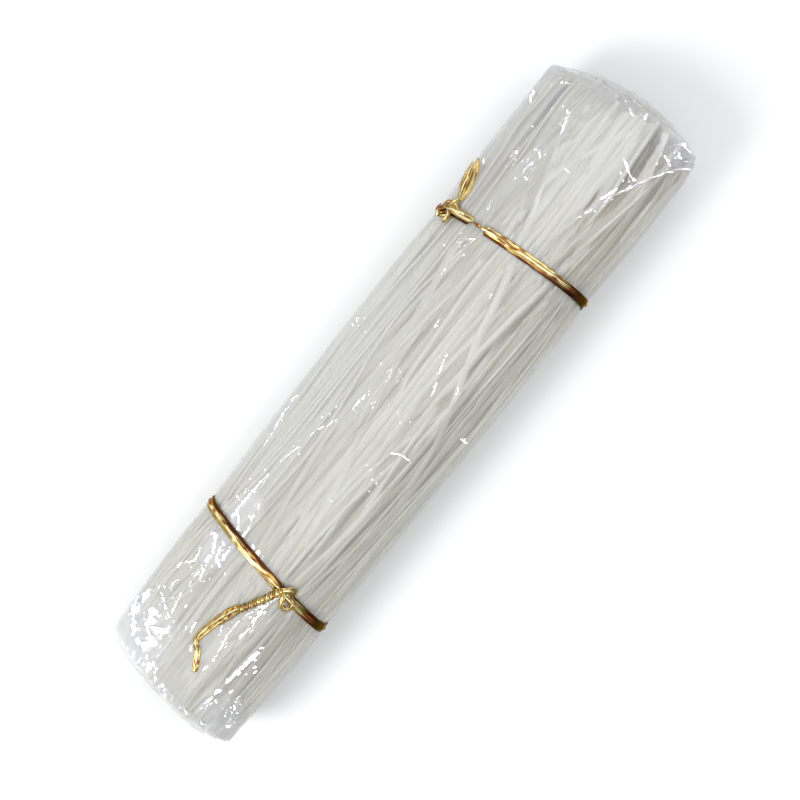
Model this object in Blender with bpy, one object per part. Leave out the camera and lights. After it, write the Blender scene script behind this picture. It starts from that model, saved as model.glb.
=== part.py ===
"""A bundle of dried potato starch noodles in a clear film wrap, held by two wire twist ties.

The bundle lies along X on its flattened underside, with +Z up and the origin at the middle of
its footprint. Units are metres. Run it with: blender --background --python part.py
"""

import math

import bmesh
import bpy
from mathutils import Vector

# The wrapped bundle
HEIGHT = 0.046
UNDERSIDE_SINK = 0.002  # how far the round section would reach below the surface it lies on
RIM_RADIUS = 0.003  # rounding of the film where it turns over the noodles' ends
LEFT_BULGE = 0.0033  # how far each end's face stands out at its middle
RIGHT_BULGE = 0.0072
END_PLEATS = 14  # gathers of the film round each end's face
END_PLEAT_DEPTH = 0.0006
RIDGES = 20  # groups of strands that show as ridges round the section
RIDGE_HEIGHT = 0.0016
RIDGE_LEVEL = 0.75  # share of a ridge's height that lies below the plain outline
RIDGE_DRIFT = 0.35  # radians that a ridge wanders round the bundle
RIDGE_SWELL = 0.4  # share by which the height varies round and along the bundle
SWELLS_ROUND = 3
SWELL_ALONG = 40.0  # radians for each metre
RIDGE_FADE = 0.020  # distance over which the ridges die out
SECTION_POINTS = 80
SHARP_ANGLE = 40  # degrees between two faces above which their edge is drawn sharp

# Four leaning planes across the bundle, from left to right: where each crosses the X axis,
# how far it leans (metres of X for each metre of Y), and the bundle's width there
LEFT_END = (-0.1377, 0.137, 0.0630)
LEFT_TIE = (-0.0782, 0.174, 0.0662)
RIGHT_TIE = (0.0687, -0.074, 0.0682)
RIGHT_END = (0.1375, -0.085, 0.0678)
PLANES = (LEFT_END, LEFT_TIE, RIGHT_TIE, RIGHT_END)
ROW_STEP = 0.0125  # distance between sections along the bundle

# The groove that each tie draws into the film
GROOVE_DEPTH = 0.0013
GROOVE_FLOOR = 0.0023  # half of the floor's width
GROOVE_REACH = 0.0055  # from the groove's middle to where the film is back at full size

# The twist ties: a foil ribbon with a wire along its middle
BAND_WIDTH = 0.0040
BAND_EDGE = 0.0004
BAND_RIDGE = 0.0008
WIRE_SHARE = 0.15  # half of the wire ridge's width, as a share of the ribbon's
GAP = 0.0003  # clearance between the ties and the film
BAND_POINTS = 56
STEM_WIDTH = 0.0026  # where the two ends of the ribbon are twisted together
STEM_EDGE = 0.0014
STEM_RIDGE = 0.0018
STEM_PITCH = 0.0054  # length of one full turn
TAIL_WIDTH = 0.0032
KNOT_WIDTH = 0.0040
KNOT_RIDGE = 0.0026

# Routes along the upper side, as (x, y, height of the ribbon's middle above the bundle's outline)
LEFT_KNOT = ((-0.0788, -0.0155, 0.0006), (-0.0802, -0.0128, 0.0012), (-0.0806, -0.0092, 0.0006))
LEFT_STEM = ((-0.0804, -0.0112, 0.0014), (-0.0869, -0.0064, 0.0022), (-0.0922, -0.0027, 0.0020),
             (-0.0955, -0.0014, 0.0016))
LEFT_LONG_TAIL = ((-0.0942, -0.0018, 0.0017), (-0.1001, 0.0002, 0.0014), (-0.1086, 0.0027, 0.0012),
                  (-0.1130, 0.0025, 0.0013), (-0.1177, -0.0004, 0.0012), (-0.1224, -0.0032, 0.0012))
LEFT_SHORT_TAIL = ((-0.0942, -0.0022, 0.0018), (-0.0990, -0.0022, 0.0013), (-0.1030, -0.0012, 0.0011))
RIGHT_KNOT = ((0.0672, 0.0262, 0.0007), (0.0665, 0.0292, 0.0014), (0.0660, 0.0312, 0.0009))
RIGHT_UPPER_TAIL = ((0.0667, 0.0290, 0.0016), (0.0720, 0.0322, 0.0018), (0.0790, 0.0336, 0.0015),
                    (0.0880, 0.0342, 0.0013))
RIGHT_LOWER_TAIL = ((0.0667, 0.0288, 0.0016), (0.0725, 0.0288, 0.0017), (0.0785, 0.0290, 0.0013),
                    (0.0848, 0.0306, 0.0012))

FILM_COLOUR = (0.76, 0.77, 0.73)
FOIL_COLOUR = (0.83, 0.60, 0.17)


def clear_scene():
    for obj in list(bpy.data.objects):
        bpy.data.objects.remove(obj, do_unlink=True)


def material(name, colour, roughness, metallic):
    made = bpy.data.materials.new(name)
    made.use_nodes = True
    shader = made.node_tree.nodes["Principled BSDF"]
    shader.inputs["Base Color"].default_value = (*colour, 1.0)
    shader.inputs["Roughness"].default_value = roughness
    shader.inputs["Metallic"].default_value = metallic
    return made


def add_object(name, bm, finish):
    bmesh.ops.recalc_face_normals(bm, faces=bm.faces)
    mesh = bpy.data.meshes.new(name)
    bm.to_mesh(mesh)
    bm.free()
    mesh.materials.append(finish)
    mesh.shade_smooth()
    mesh.set_sharp_from_angle(angle=math.radians(SHARP_ANGLE))
    obj = bpy.data.objects.new(name, mesh)
    bpy.context.scene.collection.objects.link(obj)
    return obj


def ease(t):
    return t * t * (3 - 2 * t)


def plane_at(x):
    """The leaning plane that crosses the X axis at x, between the four named ones."""
    for first, second in zip(PLANES, PLANES[1:]):
        if x <= second[0]:
            break
    t = min(max((x - first[0]) / (second[0] - first[0]), 0.0), 1.0)
    return [a + (b - a) * ease(t) for a, b in zip(first[1:], second[1:])]


def outline(x, angle, inset=0.0, raised=0.0):
    """A point of the bundle's outline on the leaning plane at x. Angle 0 is +Y and 90 degrees is up."""
    lean, width = plane_at(x)
    half_height = (HEIGHT + UNDERSIDE_SINK) / 2
    y = (width / 2 - inset + raised) * math.cos(angle)
    z = HEIGHT - half_height + (half_height - inset + raised) * math.sin(angle)
    return Vector((x + lean * y, y, max(z, inset)))


def tie_distance(x):
    return min(abs(x - tie[0]) for tie in (LEFT_TIE, RIGHT_TIE))


def end_distance(x):
    return min(x - LEFT_END[0], RIGHT_END[0] - x) - RIM_RADIUS


def groove_inset(x):
    away = tie_distance(x)
    if away <= GROOVE_FLOOR:
        return GROOVE_DEPTH
    t = (away - GROOVE_FLOOR) / (GROOVE_REACH - GROOVE_FLOOR)
    return GROOVE_DEPTH * (1 - ease(min(t, 1.0)))


def ridge(x, angle):
    """Rounded crests with sharp valleys between them, dying out at the ties and the ends."""
    drift = RIDGE_DRIFT * math.sin(math.tau * x / (RIGHT_END[0] - LEFT_END[0]) + math.cos(angle))
    crest = abs(math.sin(RIDGES / 2 * angle + drift))
    swell = 1 - RIDGE_SWELL + RIDGE_SWELL * math.sin(SWELLS_ROUND * angle + SWELL_ALONG * x)
    fade = min((tie_distance(x) - GROOVE_REACH) / RIDGE_FADE, end_distance(x) / RIDGE_FADE, 1.0)
    return RIDGE_HEIGHT * (crest - RIDGE_LEVEL) * swell * max(fade, 0.0)


def row_positions():
    """Where the sections stand: evenly spaced, with closer ones at both sides of each groove."""
    stops = [LEFT_END[0] + RIM_RADIUS]
    for tie in (LEFT_TIE, RIGHT_TIE):
        stops += [tie[0] - GROOVE_REACH, tie[0] - GROOVE_FLOOR, tie[0] + GROOVE_FLOOR, tie[0] + GROOVE_REACH]
    stops.append(RIGHT_END[0] - RIM_RADIUS)
    rows = []
    for first, second in zip(stops, stops[1:]):
        steps = max(1, round((second - first) / ROW_STEP))
        rows += [first + (second - first) * i / steps for i in range(steps)]
    return rows + [stops[-1]]


def body_ring(bm, x):
    ring = []
    for i in range(SECTION_POINTS):
        angle = math.tau * i / SECTION_POINTS
        ring.append(bm.verts.new(outline(x, angle, groove_inset(x), ridge(x, angle))))
    return ring


def end_rings(bm, x, outward, bulge):
    """Rings over the rounded rim and the face of one end, from the rim inwards."""
    rings = []
    rim_steps, face_steps = 3, 4
    centre = outline(x, math.pi / 2) * 0.5 + outline(x, -math.pi / 2) * 0.5
    for step in range(1, rim_steps + face_steps):
        if step <= rim_steps:
            turn = math.radians(90) * step / rim_steps
            inset, out, share = RIM_RADIUS * (1 - math.cos(turn)), RIM_RADIUS * math.sin(turn), 1.0
        else:
            inset, out, share = RIM_RADIUS, RIM_RADIUS, 1 - (step - rim_steps) / face_steps
        ring = []
        for i in range(SECTION_POINTS):
            angle = math.tau * i / SECTION_POINTS
            point = centre + (outline(x, angle, inset) - centre) * share
            pleat = END_PLEAT_DEPTH * math.cos(END_PLEATS * angle) * 4 * share * (1 - share)
            point.x += outward * (out + pleat + bulge * (1 - share * share))
            ring.append(bm.verts.new(point))
        rings.append(ring)
    tip = centre + Vector((outward * (RIM_RADIUS + bulge), 0, 0))
    return rings, bm.verts.new(tip)


def bridge(bm, first, second):
    count = len(first)
    for i in range(count):
        j = (i + 1) % count
        bm.faces.new((first[i], first[j], second[j], second[i]))


def close_with_tip(bm, ring, tip):
    for i in range(len(ring)):
        bm.faces.new((ring[i], ring[(i + 1) % len(ring)], tip))


def wrapped_noodles(finish):
    """The film pack with its noodles, as one solid out to the uneven outline."""
    bm = bmesh.new()
    rows = row_positions()
    body = [body_ring(bm, x) for x in rows]
    left, left_tip = end_rings(bm, rows[0], -1, LEFT_BULGE)
    right, right_tip = end_rings(bm, rows[-1], 1, RIGHT_BULGE)
    rings = left[::-1] + body + right
    for first, second in zip(rings, rings[1:]):
        bridge(bm, first, second)
    close_with_tip(bm, rings[0], left_tip)
    close_with_tip(bm, rings[-1], right_tip)
    return add_object("wrapped_noodles", bm, finish)


def ribbon_profile(width, edge=BAND_EDGE, middle=BAND_RIDGE):
    """The section of a foil ribbon, thickest over its wire, as (across, up) pairs."""
    half, wire = width / 2, width * WIRE_SHARE
    upper = [(half, edge / 2), (wire, middle / 2), (-wire, middle / 2), (-half, edge / 2)]
    return upper + [(across, -up) for across, up in reversed(upper)]


def tie_band(name, plane, finish):
    """The ribbon's loop round the bundle, in its groove."""
    bm = bmesh.new()
    x, lean, _ = plane
    across_axis = Vector((1, -lean, 0)).normalized()
    base = GROOVE_DEPTH - GAP - BAND_RIDGE / 2
    rings = []
    for i in range(BAND_POINTS):
        angle = math.tau * i / BAND_POINTS
        rings.append([
            bm.verts.new(outline(x, angle, base - up) + across_axis * across)
            for across, up in ribbon_profile(BAND_WIDTH)
        ])
    for first, second in zip(rings, rings[1:] + rings[:1]):
        bridge(bm, first, second)
    return add_object(name, bm, finish)


def smooth_route(points, steps=4):
    """A Catmull-Rom curve through the points, with steps stretches between each two."""
    ends = [points[0] * 2 - points[1], *points, points[-1] * 2 - points[-2]]
    curve = []
    for before, start, end, after in zip(ends, ends[1:], ends[2:], ends[3:]):
        for i in range(steps):
            t = i / steps
            curve.append(
                0.5 * (2 * start + (end - before) * t + (2 * before - 5 * start + 4 * end - after) * t**2
                       + (3 * start - before - 3 * end + after) * t**3)
            )
    return curve + [points[-1]]


def above_outline(x, y, height):
    """A point on the upper side, at a height over the bundle's outline."""
    lean, width = plane_at(x)
    angle = math.acos(max(-1.0, min(1.0, y / (width / 2 + height))))
    return outline(x - lean * y, angle, 0.0, height)


def outward(point):
    """The direction away from the bundle's core line."""
    return Vector((0, point.y / RIGHT_TIE[2] ** 2, (point.z - HEIGHT / 2) / HEIGHT**2)).normalized()


def ribbon(name, waypoints, profile, finish, pitch=None):
    """A ribbon along a route on the bundle, lying flat, or twisted if it has a pitch."""
    route = smooth_route([above_outline(*waypoint) for waypoint in waypoints])
    bm = bmesh.new()
    rings, run = [], 0.0
    for i, point in enumerate(route):
        ahead = (route[min(i + 1, len(route) - 1)] - route[max(i - 1, 0)]).normalized()
        run += (point - route[i - 1]).length if i else 0.0
        away = outward(point)
        away = (away - ahead * away.dot(ahead)).normalized()
        side = ahead.cross(away)
        turn = math.tau * run / pitch if pitch else 0.0
        across_axis = side * math.cos(turn) + away * math.sin(turn)
        up_axis = away * math.cos(turn) - side * math.sin(turn)
        rings.append([bm.verts.new(point + across_axis * across + up_axis * up) for across, up in profile])
    for first, second in zip(rings, rings[1:]):
        bridge(bm, first, second)
    bm.faces.new(rings[0])
    bm.faces.new(rings[-1])
    return add_object(name, bm, finish)


def joined_tie(name, plane, finish, parts):
    """One tie: its loop round the bundle, united with its knot, stem and tails."""
    tie = tie_band(name, plane, finish)
    for part in parts:
        part.hide_render = True
        part.display_type = "WIRE"
        union = tie.modifiers.new("with " + part.name, "BOOLEAN")
        union.operation = "UNION"
        union.solver = "EXACT"
        union.object = part
    return tie


def tie_left(finish):
    stem = ribbon_profile(STEM_WIDTH, STEM_EDGE, STEM_RIDGE)
    tail = ribbon_profile(TAIL_WIDTH)
    return joined_tie("tie_left", LEFT_TIE, finish, [
        ribbon("left_knot", LEFT_KNOT, ribbon_profile(KNOT_WIDTH, STEM_EDGE, KNOT_RIDGE), finish),
        ribbon("left_stem", LEFT_STEM, stem, finish, STEM_PITCH),
        ribbon("left_long_tail", LEFT_LONG_TAIL, tail, finish),
        ribbon("left_short_tail", LEFT_SHORT_TAIL, tail, finish),
    ])


def tie_right(finish):
    tail = ribbon_profile(TAIL_WIDTH)
    return joined_tie("tie_right", RIGHT_TIE, finish, [
        ribbon("right_knot", RIGHT_KNOT, ribbon_profile(KNOT_WIDTH, STEM_EDGE, KNOT_RIDGE), finish),
        ribbon("right_upper_tail", RIGHT_UPPER_TAIL, tail, finish),
        ribbon("right_lower_tail", RIGHT_LOWER_TAIL, tail, finish),
    ])


def centre_footprint(bundle, nodes):
    """Moves the parent so that the origin is at the middle of the nodes' footprint."""
    bpy.context.view_layer.update()
    graph = bpy.context.evaluated_depsgraph_get()
    corners = [Vector(corner) for node in nodes for corner in node.evaluated_get(graph).bound_box]
    for axis in range(2):
        places = [corner[axis] for corner in corners]
        bundle.location[axis] = -(min(places) + max(places)) / 2


def main():
    clear_scene()
    film = material("clear_film_over_noodles", FILM_COLOUR, 0.25, 0.0)
    foil = material("gold_foil", FOIL_COLOUR, 0.25, 1.0)
    bundle = bpy.data.objects.new("bundle", None)
    bpy.context.scene.collection.objects.link(bundle)
    nodes = [wrapped_noodles(film), tie_left(foil), tie_right(foil)]
    for obj in bpy.context.scene.objects:
        if obj.type == "MESH":
            obj.parent = bundle
    centre_footprint(bundle, nodes)


main()
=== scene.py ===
import math

import bpy
import numpy as np
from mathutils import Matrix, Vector
from mathutils.bvhtree import BVHTree


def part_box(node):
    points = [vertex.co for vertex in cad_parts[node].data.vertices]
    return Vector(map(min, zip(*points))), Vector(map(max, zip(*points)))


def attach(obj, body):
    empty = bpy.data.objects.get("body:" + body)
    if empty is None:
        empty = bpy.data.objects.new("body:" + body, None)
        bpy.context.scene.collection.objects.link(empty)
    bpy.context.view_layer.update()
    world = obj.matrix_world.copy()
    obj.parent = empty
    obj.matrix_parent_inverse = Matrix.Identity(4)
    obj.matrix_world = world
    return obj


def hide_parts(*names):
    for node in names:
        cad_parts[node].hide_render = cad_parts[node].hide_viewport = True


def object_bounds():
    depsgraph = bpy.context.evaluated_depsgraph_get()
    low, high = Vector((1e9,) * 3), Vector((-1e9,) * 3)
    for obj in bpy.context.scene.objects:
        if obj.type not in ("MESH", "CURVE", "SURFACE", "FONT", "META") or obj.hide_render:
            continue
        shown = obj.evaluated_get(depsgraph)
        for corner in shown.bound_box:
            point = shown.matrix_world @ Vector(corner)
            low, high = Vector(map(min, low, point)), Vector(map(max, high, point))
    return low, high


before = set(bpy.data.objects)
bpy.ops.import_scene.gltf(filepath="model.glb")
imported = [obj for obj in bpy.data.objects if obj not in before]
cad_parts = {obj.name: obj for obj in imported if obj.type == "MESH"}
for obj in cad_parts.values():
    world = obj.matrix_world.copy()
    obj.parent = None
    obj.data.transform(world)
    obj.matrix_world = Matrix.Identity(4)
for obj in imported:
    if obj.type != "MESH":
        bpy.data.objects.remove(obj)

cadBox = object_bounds()
random = np.random.default_rng(5)
tau = 2 * math.pi
mm = 0.001
print("frame loaded:", ", ".join(sorted(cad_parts)))


# The bundle's measures, all taken from the frame

def nodePoints(name):
    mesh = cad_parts[name].data
    points = np.empty(len(mesh.vertices) * 3)
    mesh.vertices.foreach_get("co", points)
    return points.reshape(-1, 3)


wrapLow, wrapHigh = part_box("wrapped_noodles")
axisY = (wrapLow.y + wrapHigh.y) / 2
axisZ = (wrapLow.z + wrapHigh.z) / 2
halfWidth = (wrapHigh.y - wrapLow.y) / 2
halfHeight = (wrapHigh.z - wrapLow.z) / 2
wrapTree = BVHTree.FromObject(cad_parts["wrapped_noodles"], bpy.context.evaluated_depsgraph_get())


def bandPlane(name):
    # a tie's band leans: its x is place + lean * y. Its lower half has no knot or tail to disturb the fit
    points = nodePoints(name)
    low = points[points[:, 2] < 0.8 * axisZ]
    lean, place = np.polyfit(low[:, 1] - axisY, low[:, 0], 1)
    return place, lean


def endFace(y, z, side):
    # x of the wrap's end face at a place in the section, with side -1 for the left end
    hit = wrapTree.ray_cast(Vector((0, y, z)), Vector((side, 0, 0)))[0]
    return hit.x if hit else None


def endPlane(side):
    # an end face's middle and its lean, from a place near each of its two side edges
    reach = 0.86 * halfWidth
    near, far = (endFace(axisY + y, axisZ, side) for y in (-reach, reach))
    return (near + far) / 2, (far - near) / (2 * reach)


leftEnd, rightEnd = endPlane(-1), endPlane(1)
leftTie, rightTie = bandPlane("tie_left"), bandPlane("tie_right")
planes = np.array([leftEnd, leftTie, rightTie, rightEnd])


def leanAt(s):
    # s is a station along the axis, and the section there leans by this much x for each y
    return np.interp(s, planes[:, 0], planes[:, 1])


def toFrame(s, y, z):
    return np.stack([s + leanAt(s) * (y - axisY), y, z], axis=-1)


def onRadius(s, radius, angle):
    # the place this far from the axis
    return toFrame(s, axisY + radius * np.cos(angle), axisZ + radius * np.sin(angle))


def tieGap(s):
    return np.minimum(abs(s - leftTie[0]), abs(s - rightTie[0]))


# The wrap's radius, station by station and all round, with its coarse ridges smoothed away

wrap = {
    "step": 1.0 * mm,  # from one measured section to the next
    "angles": 90,
    # the right end's +Y corner is drawn out: by how much at which stations, and round which angle
    "cornerStations": (121 * mm, 131 * mm, 141 * mm),
    "cornerReach": (0, 0.8 * mm, 3.4 * mm),
    "cornerAngle": 0.1,
    "cornerRound": 0.45,
}
outlineStations = np.arange(leftEnd[0] + 0.3 * mm, rightEnd[0], wrap["step"])
outlineAngles = np.arange(wrap["angles"]) * tau / wrap["angles"]


def softenRing(values):
    # a soft blur of radii over the nine angles round each
    kernel = np.hanning(9) / np.hanning(9).sum()
    return sum(weight * np.roll(values, shift - 4, axis=-1) for shift, weight in enumerate(kernel))


def measureOutline():
    table = np.empty((len(outlineStations), len(outlineAngles)))
    for row, s in enumerate(outlineStations):
        lean = float(leanAt(s))
        for column, angle in enumerate(outlineAngles):
            ray = Vector((lean * math.cos(angle), math.cos(angle), math.sin(angle)))
            hit = wrapTree.ray_cast(Vector((s, axisY, axisZ)), ray)[0]
            table[row, column] = math.hypot(hit.y - axisY, hit.z - axisZ) if hit else np.nan
    for column in range(table.shape[1]):
        known = ~np.isnan(table[:, column])
        table[:, column] = np.interp(outlineStations, outlineStations[known], table[known, column])
    turn = (outlineAngles - wrap["cornerAngle"] + math.pi) % tau - math.pi
    reach = np.interp(outlineStations, wrap["cornerStations"], wrap["cornerReach"])
    return softenRing(table) + reach[:, None] * np.exp(-(turn / wrap["cornerRound"]) ** 2)


outlineTable = measureOutline()


def outlineAt(s, angle):
    row = (np.asarray(s) - outlineStations[0]) / (outlineStations[1] - outlineStations[0])
    row = np.clip(row, 0, len(outlineStations) - 1.001)
    column = np.mod(angle, tau) / tau * len(outlineAngles)
    top, left = np.floor(row).astype(int), np.floor(column).astype(int)
    down, across = row - top, column - left
    left, right = left % len(outlineAngles), (left + 1) % len(outlineAngles)
    upper = outlineTable[top, left] * (1 - across) + outlineTable[top, right] * across
    lower = outlineTable[top + 1, left] * (1 - across) + outlineTable[top + 1, right] * across
    return upper * (1 - down) + lower * down


print(f"outline measured: {len(outlineStations)} sections")


# Shading helpers

class Wire:
    # one output socket. Arithmetic on wires adds the Math nodes that work it out
    def __init__(self, shop, socket):
        self.shop, self.socket = shop, socket

    def calc(self, operation, first, second):
        return self.shop.node("Math", {"operation": operation}, {0: first, 1: second})

    def __add__(self, other):
        return self.calc("ADD", self, other)

    def __radd__(self, other):
        return self.calc("ADD", other, self)

    def __sub__(self, other):
        return self.calc("SUBTRACT", self, other)

    def __rsub__(self, other):
        return self.calc("SUBTRACT", other, self)

    def __mul__(self, other):
        return self.calc("MULTIPLY", self, other)

    def __rmul__(self, other):
        return self.calc("MULTIPLY", other, self)

    def __truediv__(self, other):
        return self.calc("DIVIDE", self, other)

    def __rtruediv__(self, other):
        return self.calc("DIVIDE", other, self)

    def __pow__(self, other):
        return self.calc("POWER", self, other)

    def __rpow__(self, other):
        return self.calc("POWER", other, self)

    def clamped(self):
        return self.shop.node("Clamp", {}, {0: self})


class Shop:
    # the workshop of one material, or of the world
    def __init__(self, name, made=None):
        self.made = made or bpy.data.materials.new(name)
        self.made.use_nodes = True
        self.tree = self.made.node_tree
        self.tree.nodes.clear()

    def node(self, kind, settings=None, values=None, output=0):
        made = self.tree.nodes.new("ShaderNode" + kind)
        for key, value in (settings or {}).items():
            setattr(made, key, value)
        for key, value in (values or {}).items():
            if isinstance(value, Wire):
                self.tree.links.new(value.socket, made.inputs[key])
            elif isinstance(value, tuple) and len(value) == 3 and made.inputs[key].type == "RGBA":
                made.inputs[key].default_value = (*value, 1)
            else:
                made.inputs[key].default_value = value
        return Wire(self, made.outputs[output])

    def attribute(self, name):
        return self.node("Attribute", {"attribute_name": name}, output="Fac")

    def stretched(self, scale):
        # the object's own coordinates, drawn out by a scale on each axis
        place = self.node("TexCoord", output="Object")
        return self.node("Mapping", {}, {"Vector": place, "Scale": scale})

    def noise(self, scale, detail=2.0):
        return self.node("TexNoise", {}, {"Vector": self.stretched(scale), "Scale": 1.0, "Detail": detail})

    def mixed(self, factor, first, second):
        return self.node("Mix", {"data_type": "RGBA"}, {0: factor, 6: first, 7: second}, output=2)

    def finish(self, surface, kind="Material"):
        output = self.tree.nodes.new("ShaderNodeOutput" + kind)
        self.tree.links.new(surface.socket, output.inputs["Surface"])
        return self.made


def meshPiece(name, points, faces, material):
    mesh = bpy.data.meshes.new(name)
    mesh.from_pydata(points, [], faces)
    mesh.validate()
    mesh.materials.append(material)
    mesh.shade_smooth()
    piece = bpy.data.objects.new(name, mesh)
    bpy.context.scene.collection.objects.link(piece)
    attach(piece, "root")
    return piece


def keepInBox(points, floor):
    # moves what reaches past the CAD model's sides, or below this height, back inside
    y, z = points[..., 1], points[..., 2]
    inset = 0.05 * mm
    y = np.clip(y, cadBox[0][1] + inset, cadBox[1][1] - inset)
    return np.stack([points[..., 0], y, np.maximum(z, floor)], axis=-1)


def pointValues(piece, name, values):
    held = piece.data.attributes.new(name, "FLOAT", "POINT")
    held.data.foreach_set("value", np.asarray(values, np.float32).ravel())


def ringFaces(rows, columns, start=0, closed=False):
    # the faces between rings of points. A closed run joins its last ring to its first; another has end faces
    index = start + np.arange(rows * columns).reshape(rows, columns)
    if closed:
        index = np.vstack([index, index[:1]])
    across = np.roll(index, -1, axis=1)
    quads = np.stack([index[:-1], across[:-1], across[1:], index[1:]], axis=-1).reshape(-1, 4).tolist()
    return quads if closed else quads + [index[0, ::-1].tolist(), index[-1].tolist()]


def ringUvs(rows, columns, corner, size, endSpot):
    # the texture places of the corners of an open run's faces: a patch, and one spot for the end faces
    row = np.repeat(np.arange(rows - 1)[:, None], columns, axis=1)
    column = np.repeat(np.arange(columns)[None], rows - 1, axis=0)
    share = np.stack([np.stack([row, row, row + 1, row + 1], axis=-1) / (rows - 1),
                      np.stack([column, column + 1, column + 1, column], axis=-1) / columns], axis=-1)
    return np.concatenate([corner + share.reshape(-1, 2) * size, np.tile([endSpot], (2 * columns, 1))])


def layOut(piece, uvs):
    layer = piece.data.uv_layers.new(name="OFBake")
    layer.data.foreach_set("uv", uvs.astype(np.float32).ravel())


# The noodles: where each strand runs

noodles = {
    "count": 620,
    "thickness": (1.30 * mm, 2.15 * mm),
    "clumps": 26,
    "clumpSlant": 3.8 * mm,  # how far a clump of strands crosses over from one end to the other
    "clumpBow": 2.0 * mm,
    "strandSlant": 1.6 * mm,
    "strandBow": 1.1 * mm,
    "bows": (1.0, 1.7),  # half waves of each bow along the bundle
    "uneven": 0.02,  # how far a strand starts from its even place, as a share of the section
    "filmRoom": 0.48 * mm,  # left between the strands and the wrap's outline
    "slack": 0.4 * mm,  # how much further the strands stay from the film along the +Y side
    "slackAngle": 0.35,  # where on that side it is greatest, and how far round it spreads, in radians
    "slackSpread": 0.55,
    # how much of it there is at the left tie, 30 mm from it, 20 mm right of the middle, and at the right tie
    "slackShares": (0.3, 1, 0.9, 0.15),
    "stiffness": 9,  # a strand's bends: the degree of the curve that it follows
    "rounds": 90,  # of pushing overlapping strands apart
    "sections": 58,
    "around": 120,  # angles at which the room under the film is known
    "leftMargin": (1.7 * mm, 3.6 * mm),  # clear film beyond the strands' cut ends
    "rightMargin": (1.7 * mm, 3.8 * mm),
    "shorter": 1 * mm,  # and how much more of it there is at the left end's -Y corner, between these places
    "shorterFrom": (-11 * mm, -25 * mm),
    "outerDepth": 1.6 * mm,  # a strand that comes this near to the outline is made in full detail
    "innerDepth": 6.5 * mm,  # and one that comes only this near is made plainer; the rest show at the ends
    # how many corners a strand's section has, and how far its flat side turns from the film, in radians
    "outer": {"sides": 6, "turn": 0.4},
    "inner": {"sides": 5, "turn": 0.8},
    "twist": 3,  # how much further it turns in a metre
    "tilt": 0.55,  # and the most that it turns
    "wide": 1.52,  # a strand's section, as shares of its thickness
    "thin": 0.56,
    "laidTone": 1.3,  # how white the strands are that lie over the others, where the rest have 0 to 1
    "paintedShadeDepth": 7.0 * mm,  # the depth at which the painted shade of the gaps is full
    "paleEnd": 5 * mm,  # over this length that painted shade comes in from a strand's cut end
    "stub": 34 * mm,  # length of a strand that shows at the ends only
    "coreDepth": 4.2 * mm,
    "coreEnd": 30 * mm,
    "holdFade": 9 * mm,  # over this length a laid strand joins the others at its ends
    # strands that lie over the others for part of their length, as (x, y) in mm
    "laid": [
        [(67, -0.6), (62.5, -2.5), (47, -6.4), (31.5, -10.0), (17, -14.6), (4, -19.2), (-8.5, -22.3),
         (-32, -24.2)],
        [(118, 15.5), (96, 9.0), (78, 2.5)],
        [(60, 19.5), (30, 13.6), (0, 10.5), (-24, 9.6)],
        [(-20, 2.0), (-44, -3.5), (-66, -6.5)],
        [(128, -6.0), (108, 3.5), (90, 8.5)],
        [(137, -8.0), (122, -8.8), (104, -11.0)],
        [(136, -12.0), (121, -12.8), (98, -15.4)],
    ],
    "gapDepth": 0.8 * mm,
    # where strands part and show deeper ones: the two ends as (x, y) and the half width, in mm
    "gaps": [
        ((5, 1.4), (35, 1.6), 0.95),
        ((-26, 3.4), (6, 1.6), 0.4),
        ((19, 8.0), (35, 4.6), 0.45),
        ((46, 2.4), (60, -0.6), 0.45),
        ((14, -10.8), (27, -11.8), 0.5),
        ((34, -11.8), (62, -9.4), 0.6),
        ((5, -22.6), (30, -26.4), 0.4),
        ((-14, -27.6), (20, -28.6), 1.3),
        ((-50, 8.2), (-30, 6.6), 0.4),
        ((-62, -14.0), (-44, -16.0), 0.4),
        ((84, -3.0), (96, 2.4), 0.45),
        ((104, 4.4), (122, -0.6), 0.4),
        ((82, -12.8), (94, -16.4), 0.35),
        ((112, -20.4), (122, -22.6), 0.35),
        ((-118, -3.4), (-98, -1.4), 0.4),
        ((-130, -10.2), (-112, -12.6), 0.4),
    ],
}


def slackAt(s, angle):
    # the film stands off the strands along its +Y side, most of all left of the middle
    turn = (angle + math.pi) % tau - math.pi - noodles["slackAngle"]
    along = np.interp(s, [leftTie[0], leftTie[0] + 30 * mm, 20 * mm, rightTie[0]], noodles["slackShares"])
    return noodles["slack"] * np.exp(-(turn / noodles["slackSpread"]) ** 2) * along


def strandRoom(s, angle):
    return outlineAt(s, angle) - noodles["filmRoom"] - slackAt(s, angle)


def stiffCurve(count, degree):
    basis = np.linalg.qr(np.polynomial.legendre.legvander(np.linspace(-1, 1, count), degree))[0]
    return basis @ basis.T


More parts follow.
